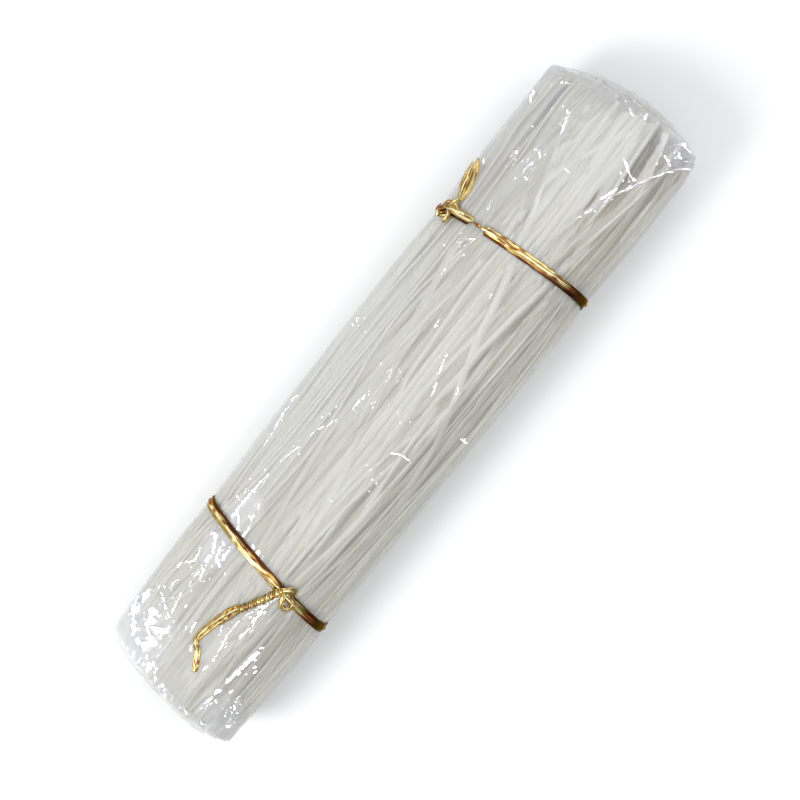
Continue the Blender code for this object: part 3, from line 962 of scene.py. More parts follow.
# each is a run of shards: its route as (x, y) and a shard's width and length, all in mm, and how unevenly
# the shards lie, in degrees
creases = [
    # beside the left tie, toward the middle
    ([(-51, 19.4), (-57.5, 19.9), (-67, 20.2), (-69.5, 20.0)], 0.9, 3.4, 3),
    ([(-69.3, 20.2), (-71.6, 17.3), (-75, 15.1)], 1.3, 2.4, 3),
    ([(-69.3, 20.2), (-73.9, 20.2)], 1.2, 2.4, 4),
    ([(-66.9, 16.0), (-68.7, 13.7), (-72.9, 12.6), (-76, 12.9)], 1.5, 2.6, 4),
    ([(-62.0, 15.3), (-64.2, 14.2)], 0.8, 1.8, 2),
    # and toward the left end
    ([(-77.5, 22.3), (-82.0, 22.4)], 0.9, 2.2, 4),
    ([(-80.8, 20.7), (-86.8, 17.3), (-91, 17.7)], 1.8, 2.8, 3),
    ([(-81.2, 16.6), (-86.5, 15.2), (-88.6, 12.6)], 2.0, 2.6, 3),
    ([(-88.0, 12.2), (-83.7, 13.3), (-81.6, 13.1)], 1.2, 2.2, 4),
    ([(-100.2, 17.2), (-95.8, 17.5), (-94.9, 15.9), (-89.4, 17.0)], 0.9, 1.8, 4),
    ([(-99.6, 24.6), (-96.6, 23.8), (-92.6, 21.0), (-88, 22.3)], 0.7, 1.6, 5),
    ([(-107.2, 20.8), (-104, 22.0), (-101.4, 20.4)], 0.7, 1.8, 5),
    ([(-112.2, 15.5), (-104.5, 17.5)], 0.9, 3.0, 2),
    ([(-107.8, 12.9), (-106.6, 13.0)], 1.0, 1.5, 1),
    # the crumpled corner of the left end
    ([(-113.5, 27.0), (-124.2, 25.3), (-129.6, 17)], 2.2, 4.2, 4),
    ([(-119.5, 22.5), (-123, 17.5), (-125, 13.6)], 3.0, 4.6, 4),
    ([(-123, 13.4), (-116, 13.0)], 2.0, 3.8, 3),
    ([(-109.5, 24), (-114.8, 14.6)], 0.9, 4.2, 2),
    ([(-130, 9.5), (-133.5, 5.5)], 1.4, 2.6, 5),
    ([(-118, 28.6), (-127, 27.6)], 1.0, 3.0, 5),
    ([(-116.0, 21.5), (-121.0, 18.5)], 4.6, 5.2, 2),
    ([(-121.5, 16.5), (-118.0, 11.5)], 4.4, 5.0, 2),
    ([(-124.5, 15.5), (-129.5, 15.0)], 4.0, 5.0, 3),
    # below the left knot
    ([(-83.5, -10.9), (-90.1, -9.4), (-97.6, -9.8), (-104.2, -9.6)], 2.0, 4.2, 3),
    ([(-89.5, -8.6), (-98.1, -5.6), (-105.8, -5.3), (-114.2, -6.9), (-121, -6.4)], 0.9, 3.2, 4),
    ([(-101.6, -18.1), (-108.9, -17.0), (-116.5, -16.1), (-125.7, -15.1)], 1.8, 4.0, 3),
    ([(-126, -15.0), (-133.3, -14.3)], 0.8, 3.0, 4),
    ([(-108.3, 6.6), (-113.3, 5.8)], 0.9, 2.2, 4),
    ([(-104.5, -1.8), (-107.5, -3.0)], 1.1, 2.0, 4),
    ([(-117.0, 2.6), (-118.6, 1.0)], 1.1, 2.0, 3),
    # clear film at the left end
    ([(-122, -22.4), (-129.4, -25.0), (-135.4, -26.1)], 1.6, 2.6, 7),
    ([(-135.5, 0.1), (-136, -5.7), (-137.4, -12.6), (-137.6, -19)], 1.4, 2.2, 7),
    # along the far side and over the middle
    ([(-22.9, 29.4), (-26.5, 29.8), (-36.2, 28.5), (-38.3, 28.2), (-43.7, 27.6)], 0.6, 1.8, 5),
    ([(-23, 13.1), (-27.6, 15.5), (-31.1, 16.4)], 0.6, 1.5, 5),
    ([(-36.7, 17), (-39.7, 17.9), (-45.5, 18.8)], 0.7, 1.5, 5),
    ([(-16.3, 15.7), (-18.2, 15.2)], 0.7, 1.4, 2),
    ([(22.9, -3.9), (18.5, -5.1), (14.6, -6.3)], 0.9, 2.4, 3),
    ([(14.0, -6.6), (8.2, -9.1)], 0.7, 2.4, 4),
    ([(15.4, -15.1), (13.6, -15.9)], 0.8, 1.6, 2),
    ([(49.4, -3.2), (47.9, -3.3)], 0.7, 1.4, 2),
    ([(30.2, 5.9), (27.4, 5.5)], 0.7, 1.6, 3),
    ([(1.9, -27.6), (2.0, -29.5)], 0.8, 1.6, 2),
    ([(-18, -10.4), (-16.2, -13.3), (-15.9, -17.2)], 0.8, 2.8, 2),
    ([(-6.4, 9.7), (-11.5, 10.3), (-13.6, 10.0), (-13.8, 8.0)], 0.7, 1.9, 4),
    # round the right tie
    ([(59.9, 16.4), (61.7, 14.1)], 0.8, 1.5, 3),
    ([(45.4, 15.9), (46.8, 15.8)], 0.9, 1.4, 1),
    ([(75.0, 17.6), (72.4, 17.0)], 0.7, 1.5, 3),
    ([(87.8, 29.6), (86.2, 29.2)], 0.9, 1.5, 2),
    # over the right end
    ([(119, 16.9), (115.2, 14.8), (110.7, 13.5)], 1.1, 2.2, 4),
    ([(107.2, 23.6), (107.3, 21.8)], 0.8, 1.6, 4),
    ([(101.8, 16.5), (99.2, 14.0)], 0.8, 1.6, 4),
    ([(96, 15.1), (92.2, 15.8), (89.8, 12.5)], 0.8, 1.6, 4),
    ([(88.3, 16.6), (87.0, 16.0)], 1.2, 1.6, 1),
    ([(101.6, 4.3), (101, 2.3)], 0.8, 1.6, 2),
    ([(97.6, 4.6), (96.6, 4.4)], 0.9, 1.3, 1),
    ([(118.8, 31.1), (114.6, 29.5)], 0.7, 2.0, 4),
    ([(127.6, 25.0), (126.2, 25.0)], 0.9, 1.4, 2),
    ([(94, 22.8), (97.5, 21.9)], 1.1, 2.4, 4),
    ([(134.6, 2.8), (133, -0.6), (131.5, -2.9)], 1.1, 2.6, 3),
    ([(135.0, -6.2), (133.4, -6.8)], 1.5, 1.8, 1),
    ([(137.0, 0.7), (137.2, -3.4)], 0.9, 2.2, 4),
    ([(129, -20.4), (127.7, -24.7)], 0.9, 2.6, 3),
    ([(125.2, -20.0), (124.0, -20.4)], 1.1, 1.4, 1),
    ([(134.5, -21.6), (136.8, -23.2), (136.2, -26.9), (132.8, -27.6), (132.4, -24.2)], 1.1, 2.4, 6),
    # along the flap's edge
    ([(118, -9.6), (114.9, -15.0), (114.5, -18.4)], 1.2, 3.0, 3),
    ([(107.6, -14.4), (101.4, -12.3)], 1.2, 3.0, 3),
    ([(111.9, -14.4), (110.9, -14.8)], 1.0, 1.4, 1),
    ([(131, -28.0), (113.7, -18.7), (102.2, -14.1), (90.8, -10.2)], 0.55, 4.0, 4),
]

# small sparkles scattered over a patch: its middle (x, y) and half size in mm, and how many
specks = [
    ((5, 7), 5, 14), ((-22, 14.5), 4, 12), ((-7, 6), 4, 8), ((56.5, 16), 4, 10), ((-5, -7), 4, 6),
    ((-29, -10), 5, 8), ((-44, -4), 3, 5), ((12, 29), 5, 7), ((116.5, 15), 3.5, 14), ((101, 16), 4, 14),
    ((94, 15.5), 4, 8), ((93, 22), 4, 7), ((-113, 7), 3, 6), ((-126, -23), 5, 16), ((-95, 15.5), 6, 18),
    ((-108, 23), 5, 10), ((132, -22), 4, 12), ((125, 26), 6, 10), ((-62, 22), 5, 8),
]

# and what all shards share
shards = {
    "leanX": (-11, -27),  # how far they face toward +X at the left and at the right end, in degrees
    "leanY": 10.5,  # and toward +Y
    "rise": 0.04 * mm,  # how far they stand off the film
    "sink": 0.03 * mm,  # and how far their edges reach into it
    "bulge": 8,  # how far they curve, in degrees at their edges
    "rough": 0.013 * mm,
    "around": 12,  # points of a ring
    "rings": (0.3, 0.6, 0.85, 1.0),
    "apart": 0.62,  # their spacing, as a share of their length
    "speck": (0.35 * mm, 0.9 * mm),  # the least and the greatest size of a sparkle
}
creaseLook = {
    **filmLook,
    "milk": (0.72, 0.72, 0.77),
    "haze": 0.05,
    "moreHaze": 0.06,
    "rimHaze": 0.0,
    "mirror": 0.13,
    "slantMirror": 0.06,
    "shine": 0.10,
    "fine": 0.0002,
}


def onFilm(filmTree, point, out):
    # the film's surface below a point, looking against the outward direction
    hit = filmTree.ray_cast(Vector(point + out * 6 * mm), Vector(-out))[0]
    return np.array(hit) if hit else np.array(point)


def shardMesh(filmTree, middle, out, ahead, size, facing):
    # a thin blister of film: nearly flat and turned toward its facing, closed down onto the film all round
    wide, long = size
    side = np.cross(out, ahead)
    slope = -np.array([facing @ ahead, facing @ side]) / max(facing @ out, 0.4)
    around, reaches = shards["around"], shards["rings"]
    angles = np.arange(around) * tau / around
    corners = random.integers(3, 5)  # three or four of them
    part = np.mod(angles + random.uniform(0, tau), tau / corners) - math.pi / corners
    uneven = 1.35 * math.cos(math.pi / corners) ** 0.6 / np.cos(part) * random.uniform(0.85, 1.15, around)
    lift = shards["rise"] + 0.5 * (abs(slope[0]) * long / 2 + abs(slope[1]) * wide / 2)
    droop = math.tan(math.radians(shards["bulge"]))
    points = [middle + out * lift]
    for reach in reaches:
        for angle, factor in zip(angles, uneven):
            a, b = reach * factor * long / 2 * math.cos(angle), reach * factor * wide / 2 * math.sin(angle)
            spot = middle + ahead * a + side * b
            down = droop * (b * b / wide + 0.3 * a * a / long) + random.normal(0, shards["rough"])
            if reach == 1.0:
                points.append(onFilm(filmTree, spot, out) - out * shards["sink"])
            else:
                points.append(spot + out * (lift + slope[0] * a + slope[1] * b - down))
    faces = [(0, 1 + i, 1 + (i + 1) % around) for i in range(around)]
    for ring in range(len(reaches) - 1):
        first = 1 + ring * around
        for i in range(around):
            j = (i + 1) % around
            faces.append((first + i, first + around + i, first + around + j, first + j))
    return points, faces


def shardFacing(x, uneven):
    tilt = [np.interp(x, (-0.12, 0.12), shards["leanX"]), shards["leanY"]]
    tilt = np.radians(tilt + random.normal(0, uneven, 2))
    return unit(np.array([math.tan(tilt[0]), math.tan(tilt[1]), 1.0]))


def buildCreases(filmTree):
    points, faces = [], []

    def add(*shard):
        made, cells = shardMesh(filmTree, *shard)
        start = len(points)
        faces.extend([start + i for i in face] for face in cells)
        points.extend(made)

    for middle, half, count in specks:
        for x, y in random.normal(middle, 0.5 * half, (count, 2)) * mm:
            spot, out = liftOff(filmTree, x, y, 0.0)
            ahead = unit(np.cross(out, random.normal(0, 1, 3)))
            add(spot, out, ahead, random.uniform(*shards["speck"], 2), shardFacing(x, 3))
    for route, wide, long, uneven in creases:
        line = alongCurve(route, 0.2)[0] * mm
        length = np.linalg.norm(np.diff(line, axis=0), axis=1).sum()
        count = max(1, round(length / (shards["apart"] * long * mm)))
        for number in range(count):
            share = (number + 0.5 + random.uniform(-0.15, 0.15)) / count
            place = min(max(int(share * (len(line) - 1)), 1), len(line) - 2)
            spot, out = liftOff(filmTree, *line[place], 0.0)
            ahead = np.array([*(line[place + 1] - line[place - 1]), 0.0])
            ahead = ahead + random.normal(0, 0.10, 3) * np.linalg.norm(ahead)
            ahead = unit(ahead - out * (ahead @ out))
            facing = shardFacing(spot[0], uneven)
            size = random.uniform(0.6, 1.2, 2) * (wide * mm, long * mm)
            add(spot, out, ahead, size, facing)
            # and small ones scattered beside it
            for _ in range(random.integers(0, 3)):
                shift = random.normal(0, 0.9, 2) * (wide + 0.5) * mm
                beside = onFilm(filmTree, spot + ahead * shift[0] + np.cross(out, ahead) * shift[1], out)
                add(beside, out, ahead, size * random.uniform(0.25, 0.55), facing)
    material = filmMaterial("creasedFilm", creaseLook)
    piece = meshPiece("film_creases", np.array(points), faces, material)
    pointValues(piece, "crinkle", np.full(len(points), 0.2))
    pointValues(piece, "haze", np.full(len(points), 0.5))
    print(f"creases: {len(faces)} faces")


# The free flap: the wrap's outer layer over the right end

flap = {
    # its free edge, as (x, y) in mm, from the right tie to the end
    "edge": [(69.5, -5.0), (85.5, -9.4), (90.8, -10.2), (96.9, -12.7), (102.2, -14.1), (113.7, -18.7),
             (122.5, -22.8), (134.5, -29.6)],
    "under": -52,  # the angle where the layer ends below the +Y side, in degrees
    "gap": 0.10 * mm,
    "wrinkle": 0.10 * mm,
    "wrinkleSize": (5 * mm, 4 * mm),
    "lip": 0.38 * mm,  # how far the free edge stands off
    "lipWidth": 0.9 * mm,
    "lipFade": 14 * mm,  # over this length the lip lies down toward the bundle's end
    "rows": 150,
    "columns": 110,
    "dense": 1.7,  # how much closer together its columns are at the free edge
    "look": {"haze": 0.02, "moreHaze": 0.30, "rimHaze": 0.25, "mirror": 0.06},
}


def buildFlap(filmRadius):
    # rows across the bundle, each from the free edge round the +Y side to where the layer ends below
    edge = np.array(flap["edge"]) * mm
    low, high = rightTie[0] + 2.6 * mm, rightEnd[0] - 1.2 * mm
    rows, columns = flap["rows"], flap["columns"]
    stations = np.linspace(low, high, rows)
    edgeStations = edge[:, 0] - leanAt(edge[:, 0]) * (edge[:, 1] - axisY)
    edgeY = np.interp(stations, edgeStations, edge[:, 1]) - axisY
    last = math.radians(flap["under"])
    share = np.linspace(0, 1, columns) ** flap["dense"]
    long, wide = flap["wrinkleSize"]
    upper = np.linspace(0.1, math.pi - 0.1, 200)
    grid = np.empty((rows, columns, 3))
    for row, s in enumerate(stations):
        first = np.interp(-edgeY[row], -filmRadius(s, upper) * np.cos(upper), upper)
        angles = first + (last - first) * share
        arc = (first - angles) * halfWidth * 0.8
        wrinkles = gradientNoise(s / long, arc / wide + 20, 64, 70)
        radius = np.max([filmRadius(s, angles + step) for step in (-0.02, 0, 0.02)], axis=0)
        radius = radius + flap["gap"] + flap["wrinkle"] * (0.6 + wrinkles)
        lip = flap["lip"] * min(1, (high - s) / flap["lipFade"])
        radius = radius + lip * np.exp(-(arc / flap["lipWidth"]) ** 2)
        grid[row] = onRadius(s, radius, angles)
    grid = keepInBox(grid, 0.1 * mm)
    index = np.arange(rows * columns).reshape(rows, columns)
    corners = [index[:-1, :-1], index[1:, :-1], index[1:, 1:], index[:-1, 1:]]
    faces = np.stack(corners, axis=-1).reshape(-1, 4).tolist()
    outer = filmMaterial("outerFilm", {**filmLook, **flap["look"]})
    piece = meshPiece("film_flap", grid.reshape(-1, 3), faces, outer)
    edgeHaze = np.exp(-np.arange(columns) / 5.0)
    pointValues(piece, "crinkle", np.full((rows, columns), 0.3))
    pointValues(piece, "haze", np.tile(0.12 + 0.7 * edgeHaze, (rows, 1)))


# The ties: crumpled gold foil strips with a wire inside, knotted on top

def alongCurve(route, spacing):
    # evenly spaced points on a smooth curve through the route, with the share of the curve's length at each
    # of them and at each of the route's own points
    route = np.asarray(route, float)
    padded = np.vstack([2 * route[0] - route[1], route, 2 * route[-1] - route[-2]])
    steps = 40  # between two points of the route
    fine, marks = [], [0]
    for i in range(len(route) - 1):
        a, b, c, d = padded[i:i + 4]
        t = np.linspace(0, 1, steps, endpoint=False)[:, None]
        fine.append(0.5 * (2 * b + (c - a) * t + (2 * a - 5 * b + 4 * c - d) * t ** 2
                           + (3 * b - a - 3 * c + d) * t ** 3))
        marks.append(marks[-1] + steps)
    fine = np.vstack(fine + [route[-1:]])
    run = np.concatenate([[0], np.cumsum(np.linalg.norm(np.diff(fine, axis=0), axis=1))])
    wanted = np.linspace(0, run[-1], max(4, int(run[-1] / spacing)))
    points = np.stack([np.interp(wanted, run, fine[:, k]) for k in range(route.shape[1])], axis=1)
    return points, wanted / run[-1], run[marks] / run[-1]


def unit(vectors):
    return vectors / np.maximum(np.linalg.norm(vectors, axis=-1, keepdims=True), 1e-12)


foil = {
    "gap": 0.10 * mm,  # between the foil and the film
    "sheet": 0.10 * mm,
    "across": 15,  # points over its width
    "crumple": 0.11 * mm,
    "longFold": 5.0 * mm,  # spacing of the folds in a band or a twisted stem, and elsewhere
    "shortFold": 2.3 * mm,
    "crest": 0.26,  # width of its long ridge, and of the lower one beside it, as shares of half its width
    "sideCrest": 0.16,
    "band": 3.7 * mm,
    "ridge": 0.55 * mm,
    "spacing": 0.38,  # of a knot's points along its route, in mm
    "floor": 0.2 * mm,
    "paintedShadeLow": -21 * mm,  # past here a painted shade darkens the band down its -Y side, and past the other on its +Y side
    "paintedShadeHigh": 28 * mm,
    "paintedShadeFade": 7 * mm,
    "paintedShadeLevels": (8 * mm, 19 * mm),  # and between these heights that painted shade fades toward the floor
}


def foilStrip(path, outward, width, ridge, seed, twist=0.0, closed=False, crumple=1.0, thick=0.0,
              offset=0.0, paintedShadeSide=0):
    # a thin closed ribbon along a path, with the side that it turns outwards, its width and its folds
    count = len(path)
    ahead = np.roll(path, -1, axis=0) - np.roll(path, 1, axis=0)
    if not closed:
        ahead[0], ahead[-1] = path[1] - path[0], path[-1] - path[-2]
    ahead = unit(ahead)
    side = unit(np.cross(ahead, outward))
    outward = np.cross(side, ahead)
    twist = np.broadcast_to(twist, count)[:, None]
    turnSide = side * np.cos(twist) + outward * np.sin(twist)
    turnOut = outward * np.cos(twist) - side * np.sin(twist)

    # a wandering crest with a lower one beside it, and creases
    run = np.arange(count)[:, None] * np.linalg.norm(np.diff(path, axis=0), axis=1).mean()
    u = np.linspace(-1, 1, foil["across"])[None]
    wander = offset + 0.30 * gradientNoise(run / (13 * mm), 0.5, 64, seed)
    strong = 1 + 0.4 * gradientNoise(run / (7 * mm), 2.5, 64, seed + 1)
    patchy = gradientNoise(run / (8 * mm), 5.5, 64, seed + 3)
    crest = np.exp(-((u - wander) / foil["crest"]) ** 2)
    second = np.exp(-((u + 0.72 - 0.5 * wander) / foil["sideCrest"]) ** 2)
    fold = foil["longFold"] if closed or crumple < 0.5 else foil["shortFold"]
    creased = ridged(gradientNoise(run / fold + 0.9 * u, 1.6 * u + 9.5, 64, seed + 2))
    height = ridge * (crest * strong + 0.42 * second * (1.2 - strong)) * (1 - u ** 8)
    height = height + crumple * foil["crumple"] * creased * (1 - 0.3 * u ** 2)
    if closed:
        joined = np.clip(np.arange(count) / 12, 0, 1)[:, None]
        height = height * joined + height[-1:] * (1 - joined)
    full = thick / 2 * np.sqrt(np.maximum(1 - u ** 2, 0))
    middle = path[:, None] + turnSide[:, None] * (u * np.broadcast_to(width, count)[:, None] / 2)[..., None]
    upper = middle + turnOut[:, None] * (height + full)[..., None]
    lower = middle + turnOut[:, None] * (height - foil["sheet"] - full)[..., None]
    ring = np.concatenate([upper, lower[:, ::-1]], axis=1)

    # a painted highlight, paler on the crests, and a painted shade, darker in the creases and along its
    # shaded side
    shade = np.clip(0.22 + 0.62 * crest * (0.85 + 0.5 * patchy) + 0.25 * second + 0.16 * creased, 0, 1)
    paintedShade = 0.85 * np.clip((u * paintedShadeSide - 0.5 + 0.6 * patchy) / 0.2, 0, 1) * abs(paintedShadeSide)
    paintedShade = np.maximum(paintedShade, np.clip(-creased * 0.9 - 0.45, 0, 1))
    shade, paintedShade = (np.concatenate([part, part[:, ::-1]], axis=1).ravel() for part in (shade, paintedShade))
    return {"points": ring.reshape(-1, 3), "faces": ringFaces(*ring.shape[:2], closed=closed),
            "shade": shade, "paintedShade": paintedShade}


# routes of the knots and tails, as (x, y, lift above the film) in mm
knots = {
    "tie_left": {
        "paintedShadeSide": -1,  # the band's +X edge gets the painted shade
        "seed": 60,
        "offset": 0.25,
        "parts": [
            # crossing turn on the band, then the small open loop below it
            {"route": [(-84.3, -8.0, 0.5), (-82.6, -9.4, 1.5), (-80.8, -11.0, 1.9), (-79.4, -13.0, 1.2),
                       (-79.2, -15.2, 0.5)],
             "width": 2.7, "ridge": 0.45},
            {"route": [(-81.8, -11.3, 0.7), (-83.6, -12.4, 1.0), (-85.6, -13.6, 0.9), (-85.9, -15.6, 0.8),
                       (-84.3, -16.6, 0.8), (-82.4, -16.2, 0.9), (-81.4, -14.4, 1.2), (-81.2, -12.4, 1.7)],
             "width": 1.9, "ridge": 0.4},
            # twisted stem
            {"route": [(-80.9, -10.6, 0.9), (-84.2, -8.8, 1.5), (-88.2, -6.8, 1.5), (-93.5, -4.0, 1.45),
                       (-96.2, -2.6, 1.3)],
             "width": 3.2, "ridge": 0.15, "turn": 3.3, "crumple": 0.4, "thick": 2.1},
            # long flat tail with its bend, and the short one that lies on edge below it
            {"route": [(-95.0, -2.6, 1.2), (-98.5, -0.9, 0.8), (-103.5, 0.7, 0.55), (-109.0, 2.0, 0.6),
                       (-113.2, 2.5, 0.9), (-115.0, 1.6, 1.3), (-116.6, -0.2, 0.7), (-119.8, -2.2, 0.45),
                       (-123.5, -4.1, 0.4)],
             "width": [2.6, 3.2, 3.2, 3.0, 2.6, 1.9, 2.2, 2.3, 2.2], "ridge": 0.32},
            {"route": [(-94.5, -3.6, 1.0), (-98.5, -3.2, 0.9), (-102.0, -1.9, 0.8), (-104.6, -0.9, 0.7)],
             "width": 1.3, "ridge": 0.2, "edgeOn": 0.9},
        ],
    },
    "tie_right": {
        "paintedShadeSide": 1,
        "seed": 75,
        "offset": -0.1,
        "parts": [
            {"route": [(66.6, 22.5, 0.8), (65.9, 25.0, 1.4), (65.2, 27.4, 2.0), (63.6, 29.4, 1.6),
                       (62.6, 31.2, 1.0)],
             "width": 2.8, "ridge": 0.45},
            {"route": [(66.8, 25.2, 1.0), (68.0, 27.0, 1.5), (67.4, 29.4, 1.6), (65.4, 30.0, 1.2),
                       (64.2, 28.2, 1.0), (65.4, 26.4, 1.8)],
             "width": 2.1, "ridge": 0.4},
            {"route": [(64.6, 26.6, 0.8), (62.6, 27.6, 1.2), (61.8, 29.6, 1.2), (63.0, 31.4, 1.0),
                       (64.8, 30.8, 1.5)],
             "width": 2.1, "ridge": 0.4},
            {"route": [(60.2, 27.2, 0.9), (62.0, 26.2, 1.8), (64.2, 26.8, 2.1), (65.6, 28.8, 1.6),
                       (65.8, 30.4, 0.9)],
             "width": 2.4, "ridge": 0.4},
            {"route": [(60.6, 30.0, 0.9), (62.4, 30.2, 1.8), (64.4, 29.0, 2.3), (66.6, 27.6, 1.4)],
             "width": 2.3, "ridge": 0.4},
            {"route": [(64.8, 28.6, 1.6), (67.5, 28.0, 1.6), (70.6, 27.4, 1.2), (71.6, 27.5, 1.2)],
             "width": [2.0, 2.1, 1.6, 1.3], "ridge": 0.35},
            # the two leaves that it ends in
            {"route": [(70.0, 27.6, 1.2), (75.4, 30.0, 1.3), (80.0, 31.4, 1.2), (84.5, 32.4, 0.9)],
             "width": [1.4, 2.5, 2.3, 1.0], "ridge": 0.4, "level": 0.85, "crumple": 0.3},
            {"route": [(70.4, 27.1, 1.1), (76.5, 27.8, 0.9), (82.0, 29.5, 0.8), (86.8, 31.8, 0.8)],
             "width": [1.4, 2.6, 2.5, 1.0], "ridge": 0.4, "level": 0.85, "crumple": 0.3},
        ],
        # where the band itself is twisted thin: y of the stretch
        "thin": (17.5, 24.5),
    },
}


def liftOff(filmTree, x, y, lift, level=0.0):
    # a point above the film's upper side, and the direction away from it. Beside or beyond the bundle it is
    # found by steps toward the middle: along it at the two ends, and across it elsewhere
    way = (1, 0) if abs(x) > 125 * mm else (0, 1)
    for stepX, stepY in (np.arange(40)[:, None] * 0.3 * mm * way).tolist():
        start = Vector((x - math.copysign(stepX, x), y - math.copysign(stepY, y), 0.2))
        hit = filmTree.ray_cast(start, Vector((0, 0, -1)))[0]
        if hit and hit.z > axisZ + 9 * mm:
            break
    ring = Vector((0, (hit.y - axisY) / halfWidth ** 2, (hit.z - axisZ) / halfHeight ** 2)).normalized()
    out = (ring * (1 - level) + Vector((0, 0, 1)) * level).normalized()
    return np.array(hit + out * lift) + (0, y - hit.y, 0), np.array(out)


def bandStrip(plane, shape, filmRadius):
    # one turn round the bundle, tight on the film and leaning with the tie
    place, lean = plane
    count = 330
    angles = np.arange(count) * tau / count
    reaches = [filmRadius(place + shift * mm, angles) for shift in np.linspace(-1.9, 1.9, 9)]
    under = softenRing(runAround(np.max(reaches, axis=0)[None], 3, np.max)[0])
    thin, twist = np.zeros(count), np.zeros(count)
    if "thin" in shape:
        far, near = (math.acos((y * mm - axisY) / (halfWidth * 0.97)) for y in shape["thin"])
        share = np.clip((angles - near) / (far - near), 0, 1)
        thin = np.clip(3.5 * np.minimum(share, 1 - share), 0, 1)
        twist = tau * share
    radius = under + foil["gap"] + foil["crumple"] + foil["sheet"] + thin * 0.5 * mm
    y, z = axisY + radius * np.cos(angles), axisZ + radius * np.sin(angles)
    path = np.stack([place + lean * (y - axisY), y, z], axis=1)
    outward = unit(np.stack([0 * y, (y - axisY) / halfWidth ** 2, (z - axisZ) / halfHeight ** 2], axis=1))
    width = foil["band"] * (1 - 0.62 * thin)
    return foilStrip(path, outward, width, foil["ridge"], shape["seed"], twist=twist, closed=True,
                     crumple=0.4, offset=shape["offset"], paintedShadeSide=shape["paintedShadeSide"])


def knotStrip(part, number, filmTree):
    route = np.array(part["route"])
    line, share, marks = alongCurve(route, foil["spacing"])
    spots = [liftOff(filmTree, x * mm, y * mm, lift * mm, part.get("level", 0.0)) for x, y, lift in line]
    path, outward = (np.array(column) for column in zip(*spots))
    width = np.interp(share, marks, np.broadcast_to(part["width"], len(route)) * mm)
    twist = part.get("edgeOn", 0.0) * math.pi / 2
    if "turn" in part:
        length = np.linalg.norm(np.diff(path, axis=0), axis=1).sum()
        twist = tau * share * length / (part["turn"] * mm)
        path = path + outward * 0.2 * mm
    return foilStrip(path, outward, width, part["ridge"] * mm, 90 + 5 * number, twist=twist,
                     crumple=part.get("crumple", 1.0), thick=part.get("thick", 0.0) * mm)


foilLook = {
    "gold": (0.52, 0.36, 0.08),
    # the painted highlight along the crests
    "paintedHighlight": (1.0, 0.93, 0.56),
    "brown": (0.29, 0.165, 0.05),
    # the painted shade colours: red-brown, and nearly black at its deepest
    "paintedShadeRed": (0.24, 0.065, 0.02),
    "dark": (0.032, 0.015, 0.009),
    "tint": (0.75, 0.6, 0.4),
    "rough": 0.18,
    "grain": 0.15,
    "grainDepth": 0.2 * mm,
    "cloud": (330, 330, 330),  # patches and grains to a metre
    "grains": (1500, 1500, 1500),
}


def foilMaterial(name, look):
    # thin lacquered gold foil with random brown patches: a painted highlight makes it paler on its crests,
    # and a painted shade makes it red-brown in its folds and nearly black where it turns away
    shop = Shop(name)
    shade, paintedShade = shop.attribute("shade"), shop.attribute("paintedShade")
    cloud, fine = shop.noise(look["cloud"]), shop.noise(look["grains"])
    warm = shop.mixed((2.6 * cloud - 0.6).clamped(), look["brown"], look["gold"])
    # painted highlight on the crests, then painted shade over it, red-brown and at its deepest nearly black
    bright = shop.mixed((2.2 * shade - 0.75).clamped(), warm, look["paintedHighlight"])
    turned = shop.mixed((2.2 * paintedShade).clamped(), bright, look["paintedShadeRed"])
    colour = shop.mixed((1.9 * paintedShade - 0.8).clamped(), turned, look["dark"])
    bump = shop.node("Bump", {}, {
        "Strength": look["grain"], "Distance": look["grainDepth"], "Height": fine + 1.5 * cloud})
    rough = look["rough"] + 0.12 * cloud
    return shop.finish(shop.node("BsdfPrincipled", {}, {
        "Base Color": colour, "Metallic": 1.0, "Roughness": rough, "Normal": bump,
        "Specular Tint": look["tint"]}))


def buildTies(filmTree, filmRadius):
    material = foilMaterial("goldFoil", foilLook)
    for name, plane in (("tie_left", leftTie), ("tie_right", rightTie)):
        shape = knots[name]
        strips = [bandStrip(plane, shape, filmRadius)]
        strips += [knotStrip(part, number, filmTree) for number, part in enumerate(shape["parts"])]
        faces, start = [], 0
        for strip in strips:
            faces += [[start + i for i in face] for face in strip["faces"]]
            start += len(strip["points"])

        def joined(key):
            return np.concatenate([strip[key] for strip in strips])

        points = keepInBox(joined("points"), foil["floor"])
        x, y, z = points.T
        # a painted shade darkens the band down the bundle's sides, standing in for its dark reflection there,
        # but not its knot and tails
        away = np.maximum(foil["paintedShadeLow"] - y, 0.6 * (y - foil["paintedShadeHigh"]))
        away = np.clip(away / foil["paintedShadeFade"], 0, 1) * np.interp(z, foil["paintedShadeLevels"], (0.2, 1))
        knotted = abs(x - plane[0] - plane[1] * y) > 2.4 * mm
        piece = meshPiece(name.replace("tie_", "foil_"), points, faces, material)
        pointValues(piece, "shade", joined("shade"))
        pointValues(piece, "paintedShade", np.maximum(joined("paintedShade"), np.where(knotted, 0, away)))
        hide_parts(name)
        print(f"{name}: {len(faces)} faces")


buildTies(filmTree, filmRadius)
buildCreases(filmTree)
buildFlap(filmRadius)


# The setting: floor, light and camera

paper = {"reach": 12.0, "level": -0.1 * mm, "colour": (0.77, 0.77, 0.77), "rough": 0.9, "shine": 0.1}


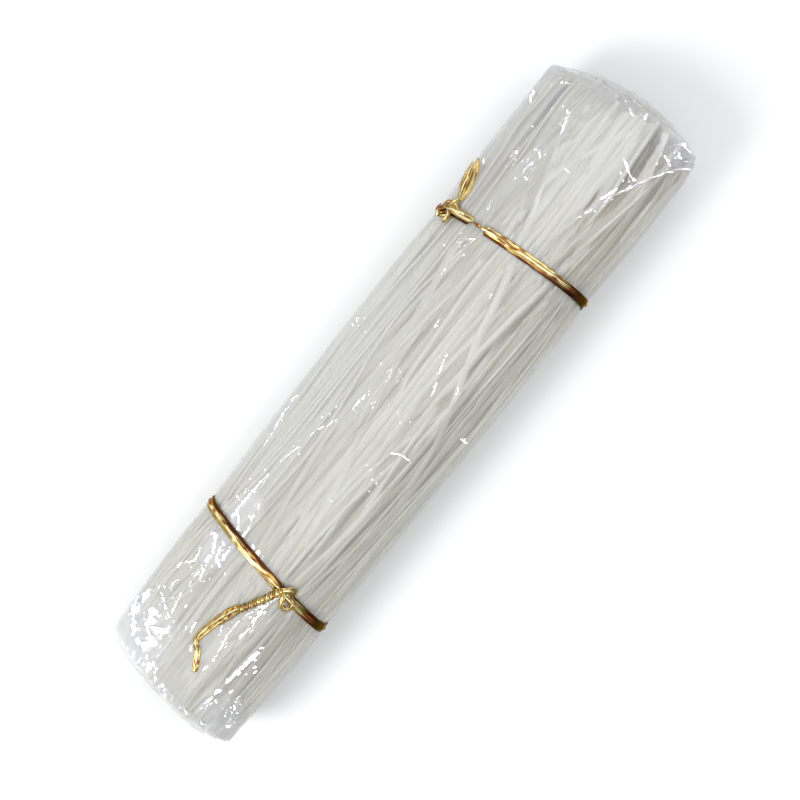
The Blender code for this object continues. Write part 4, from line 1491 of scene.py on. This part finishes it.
def buildFloor():
    mesh = bpy.data.meshes.new("floor")
    far = paper["reach"]
    corners = [(-far, -far), (far, -far), (far, far), (-far, far)]
    mesh.from_pydata([(x, y, paper["level"]) for x, y in corners], [], [(0, 1, 2, 3)])
    shop = Shop("palePaper")
    mesh.materials.append(shop.finish(shop.node("BsdfPrincipled", {}, {
        "Base Color": paper["colour"], "Roughness": paper["rough"], "Specular IOR Level": paper["shine"]})))
    floor = bpy.data.objects.new("floor", mesh)
    bpy.context.scene.collection.objects.link(floor)


light = {
    "key": {"place": (-0.80, 0.42, 0.95), "size": 0.40, "power": 9.0},
    "fill": {"place": (0.25, -0.28, 1.0), "size": 1.2, "power": 5.2},
}
sky = {
    "colour": (0.95, 0.97, 1.0),
    "dark": 0.12,  # its strength on the -Y side, and on the other
    "bright": 0.92,
    "edge": -0.95,  # where it starts to brighten, from -1 to 1 across it, and over how much of it
    "fade": 0.62,
}
camera = {
    "turn": -51.4,  # in degrees
    "height": 0.600,  # above the bundle's middle, which is at this level
    "middle": 22 * mm,
    "lens": 72.0,
    "sensor": 36,
    "aim": (-0.8 * mm, -1.0 * mm),
}


def buildLights():
    for name, lamp in light.items():
        data = bpy.data.lights.new(name, "AREA")
        data.shape, data.size, data.energy = "SQUARE", lamp["size"], lamp["power"]
        made = bpy.data.objects.new(name, data)
        made.location = lamp["place"]
        made.rotation_euler = (-Vector(lamp["place"])).to_track_quat("-Z", "Y").to_euler()
        bpy.context.scene.collection.objects.link(made)
    world = bpy.data.worlds.new("studio")
    bpy.context.scene.world = world
    shop = Shop("studio", world)
    way = shop.node("TexCoord", output="Generated")
    sideways = shop.node("SeparateXYZ", {}, {0: way}, output="Y")
    across = ((sideways - sky["edge"]) / sky["fade"]).clamped()
    strength = sky["dark"] + (sky["bright"] - sky["dark"]) * across
    glow = shop.node("Background", {}, {"Color": sky["colour"], "Strength": strength})
    shop.finish(glow, "World")


def buildCamera():
    data = bpy.data.cameras.new("camera")
    data.lens, data.sensor_width = camera["lens"], camera["sensor"]
    made = bpy.data.objects.new("camera", data)
    made.location = (*camera["aim"], camera["middle"] + camera["height"])
    made.rotation_euler = (0, 0, math.radians(camera["turn"]))
    bpy.context.scene.collection.objects.link(made)
    bpy.context.scene.camera = made


buildFloor()
buildLights()
buildCamera()
bpy.context.scene.view_settings.view_transform = "Standard"
bpy.context.scene.cycles.use_denoising = True
bpy.context.scene.cycles.diffuse_bounces = 8
bpy.context.scene.cycles.max_bounces = 16
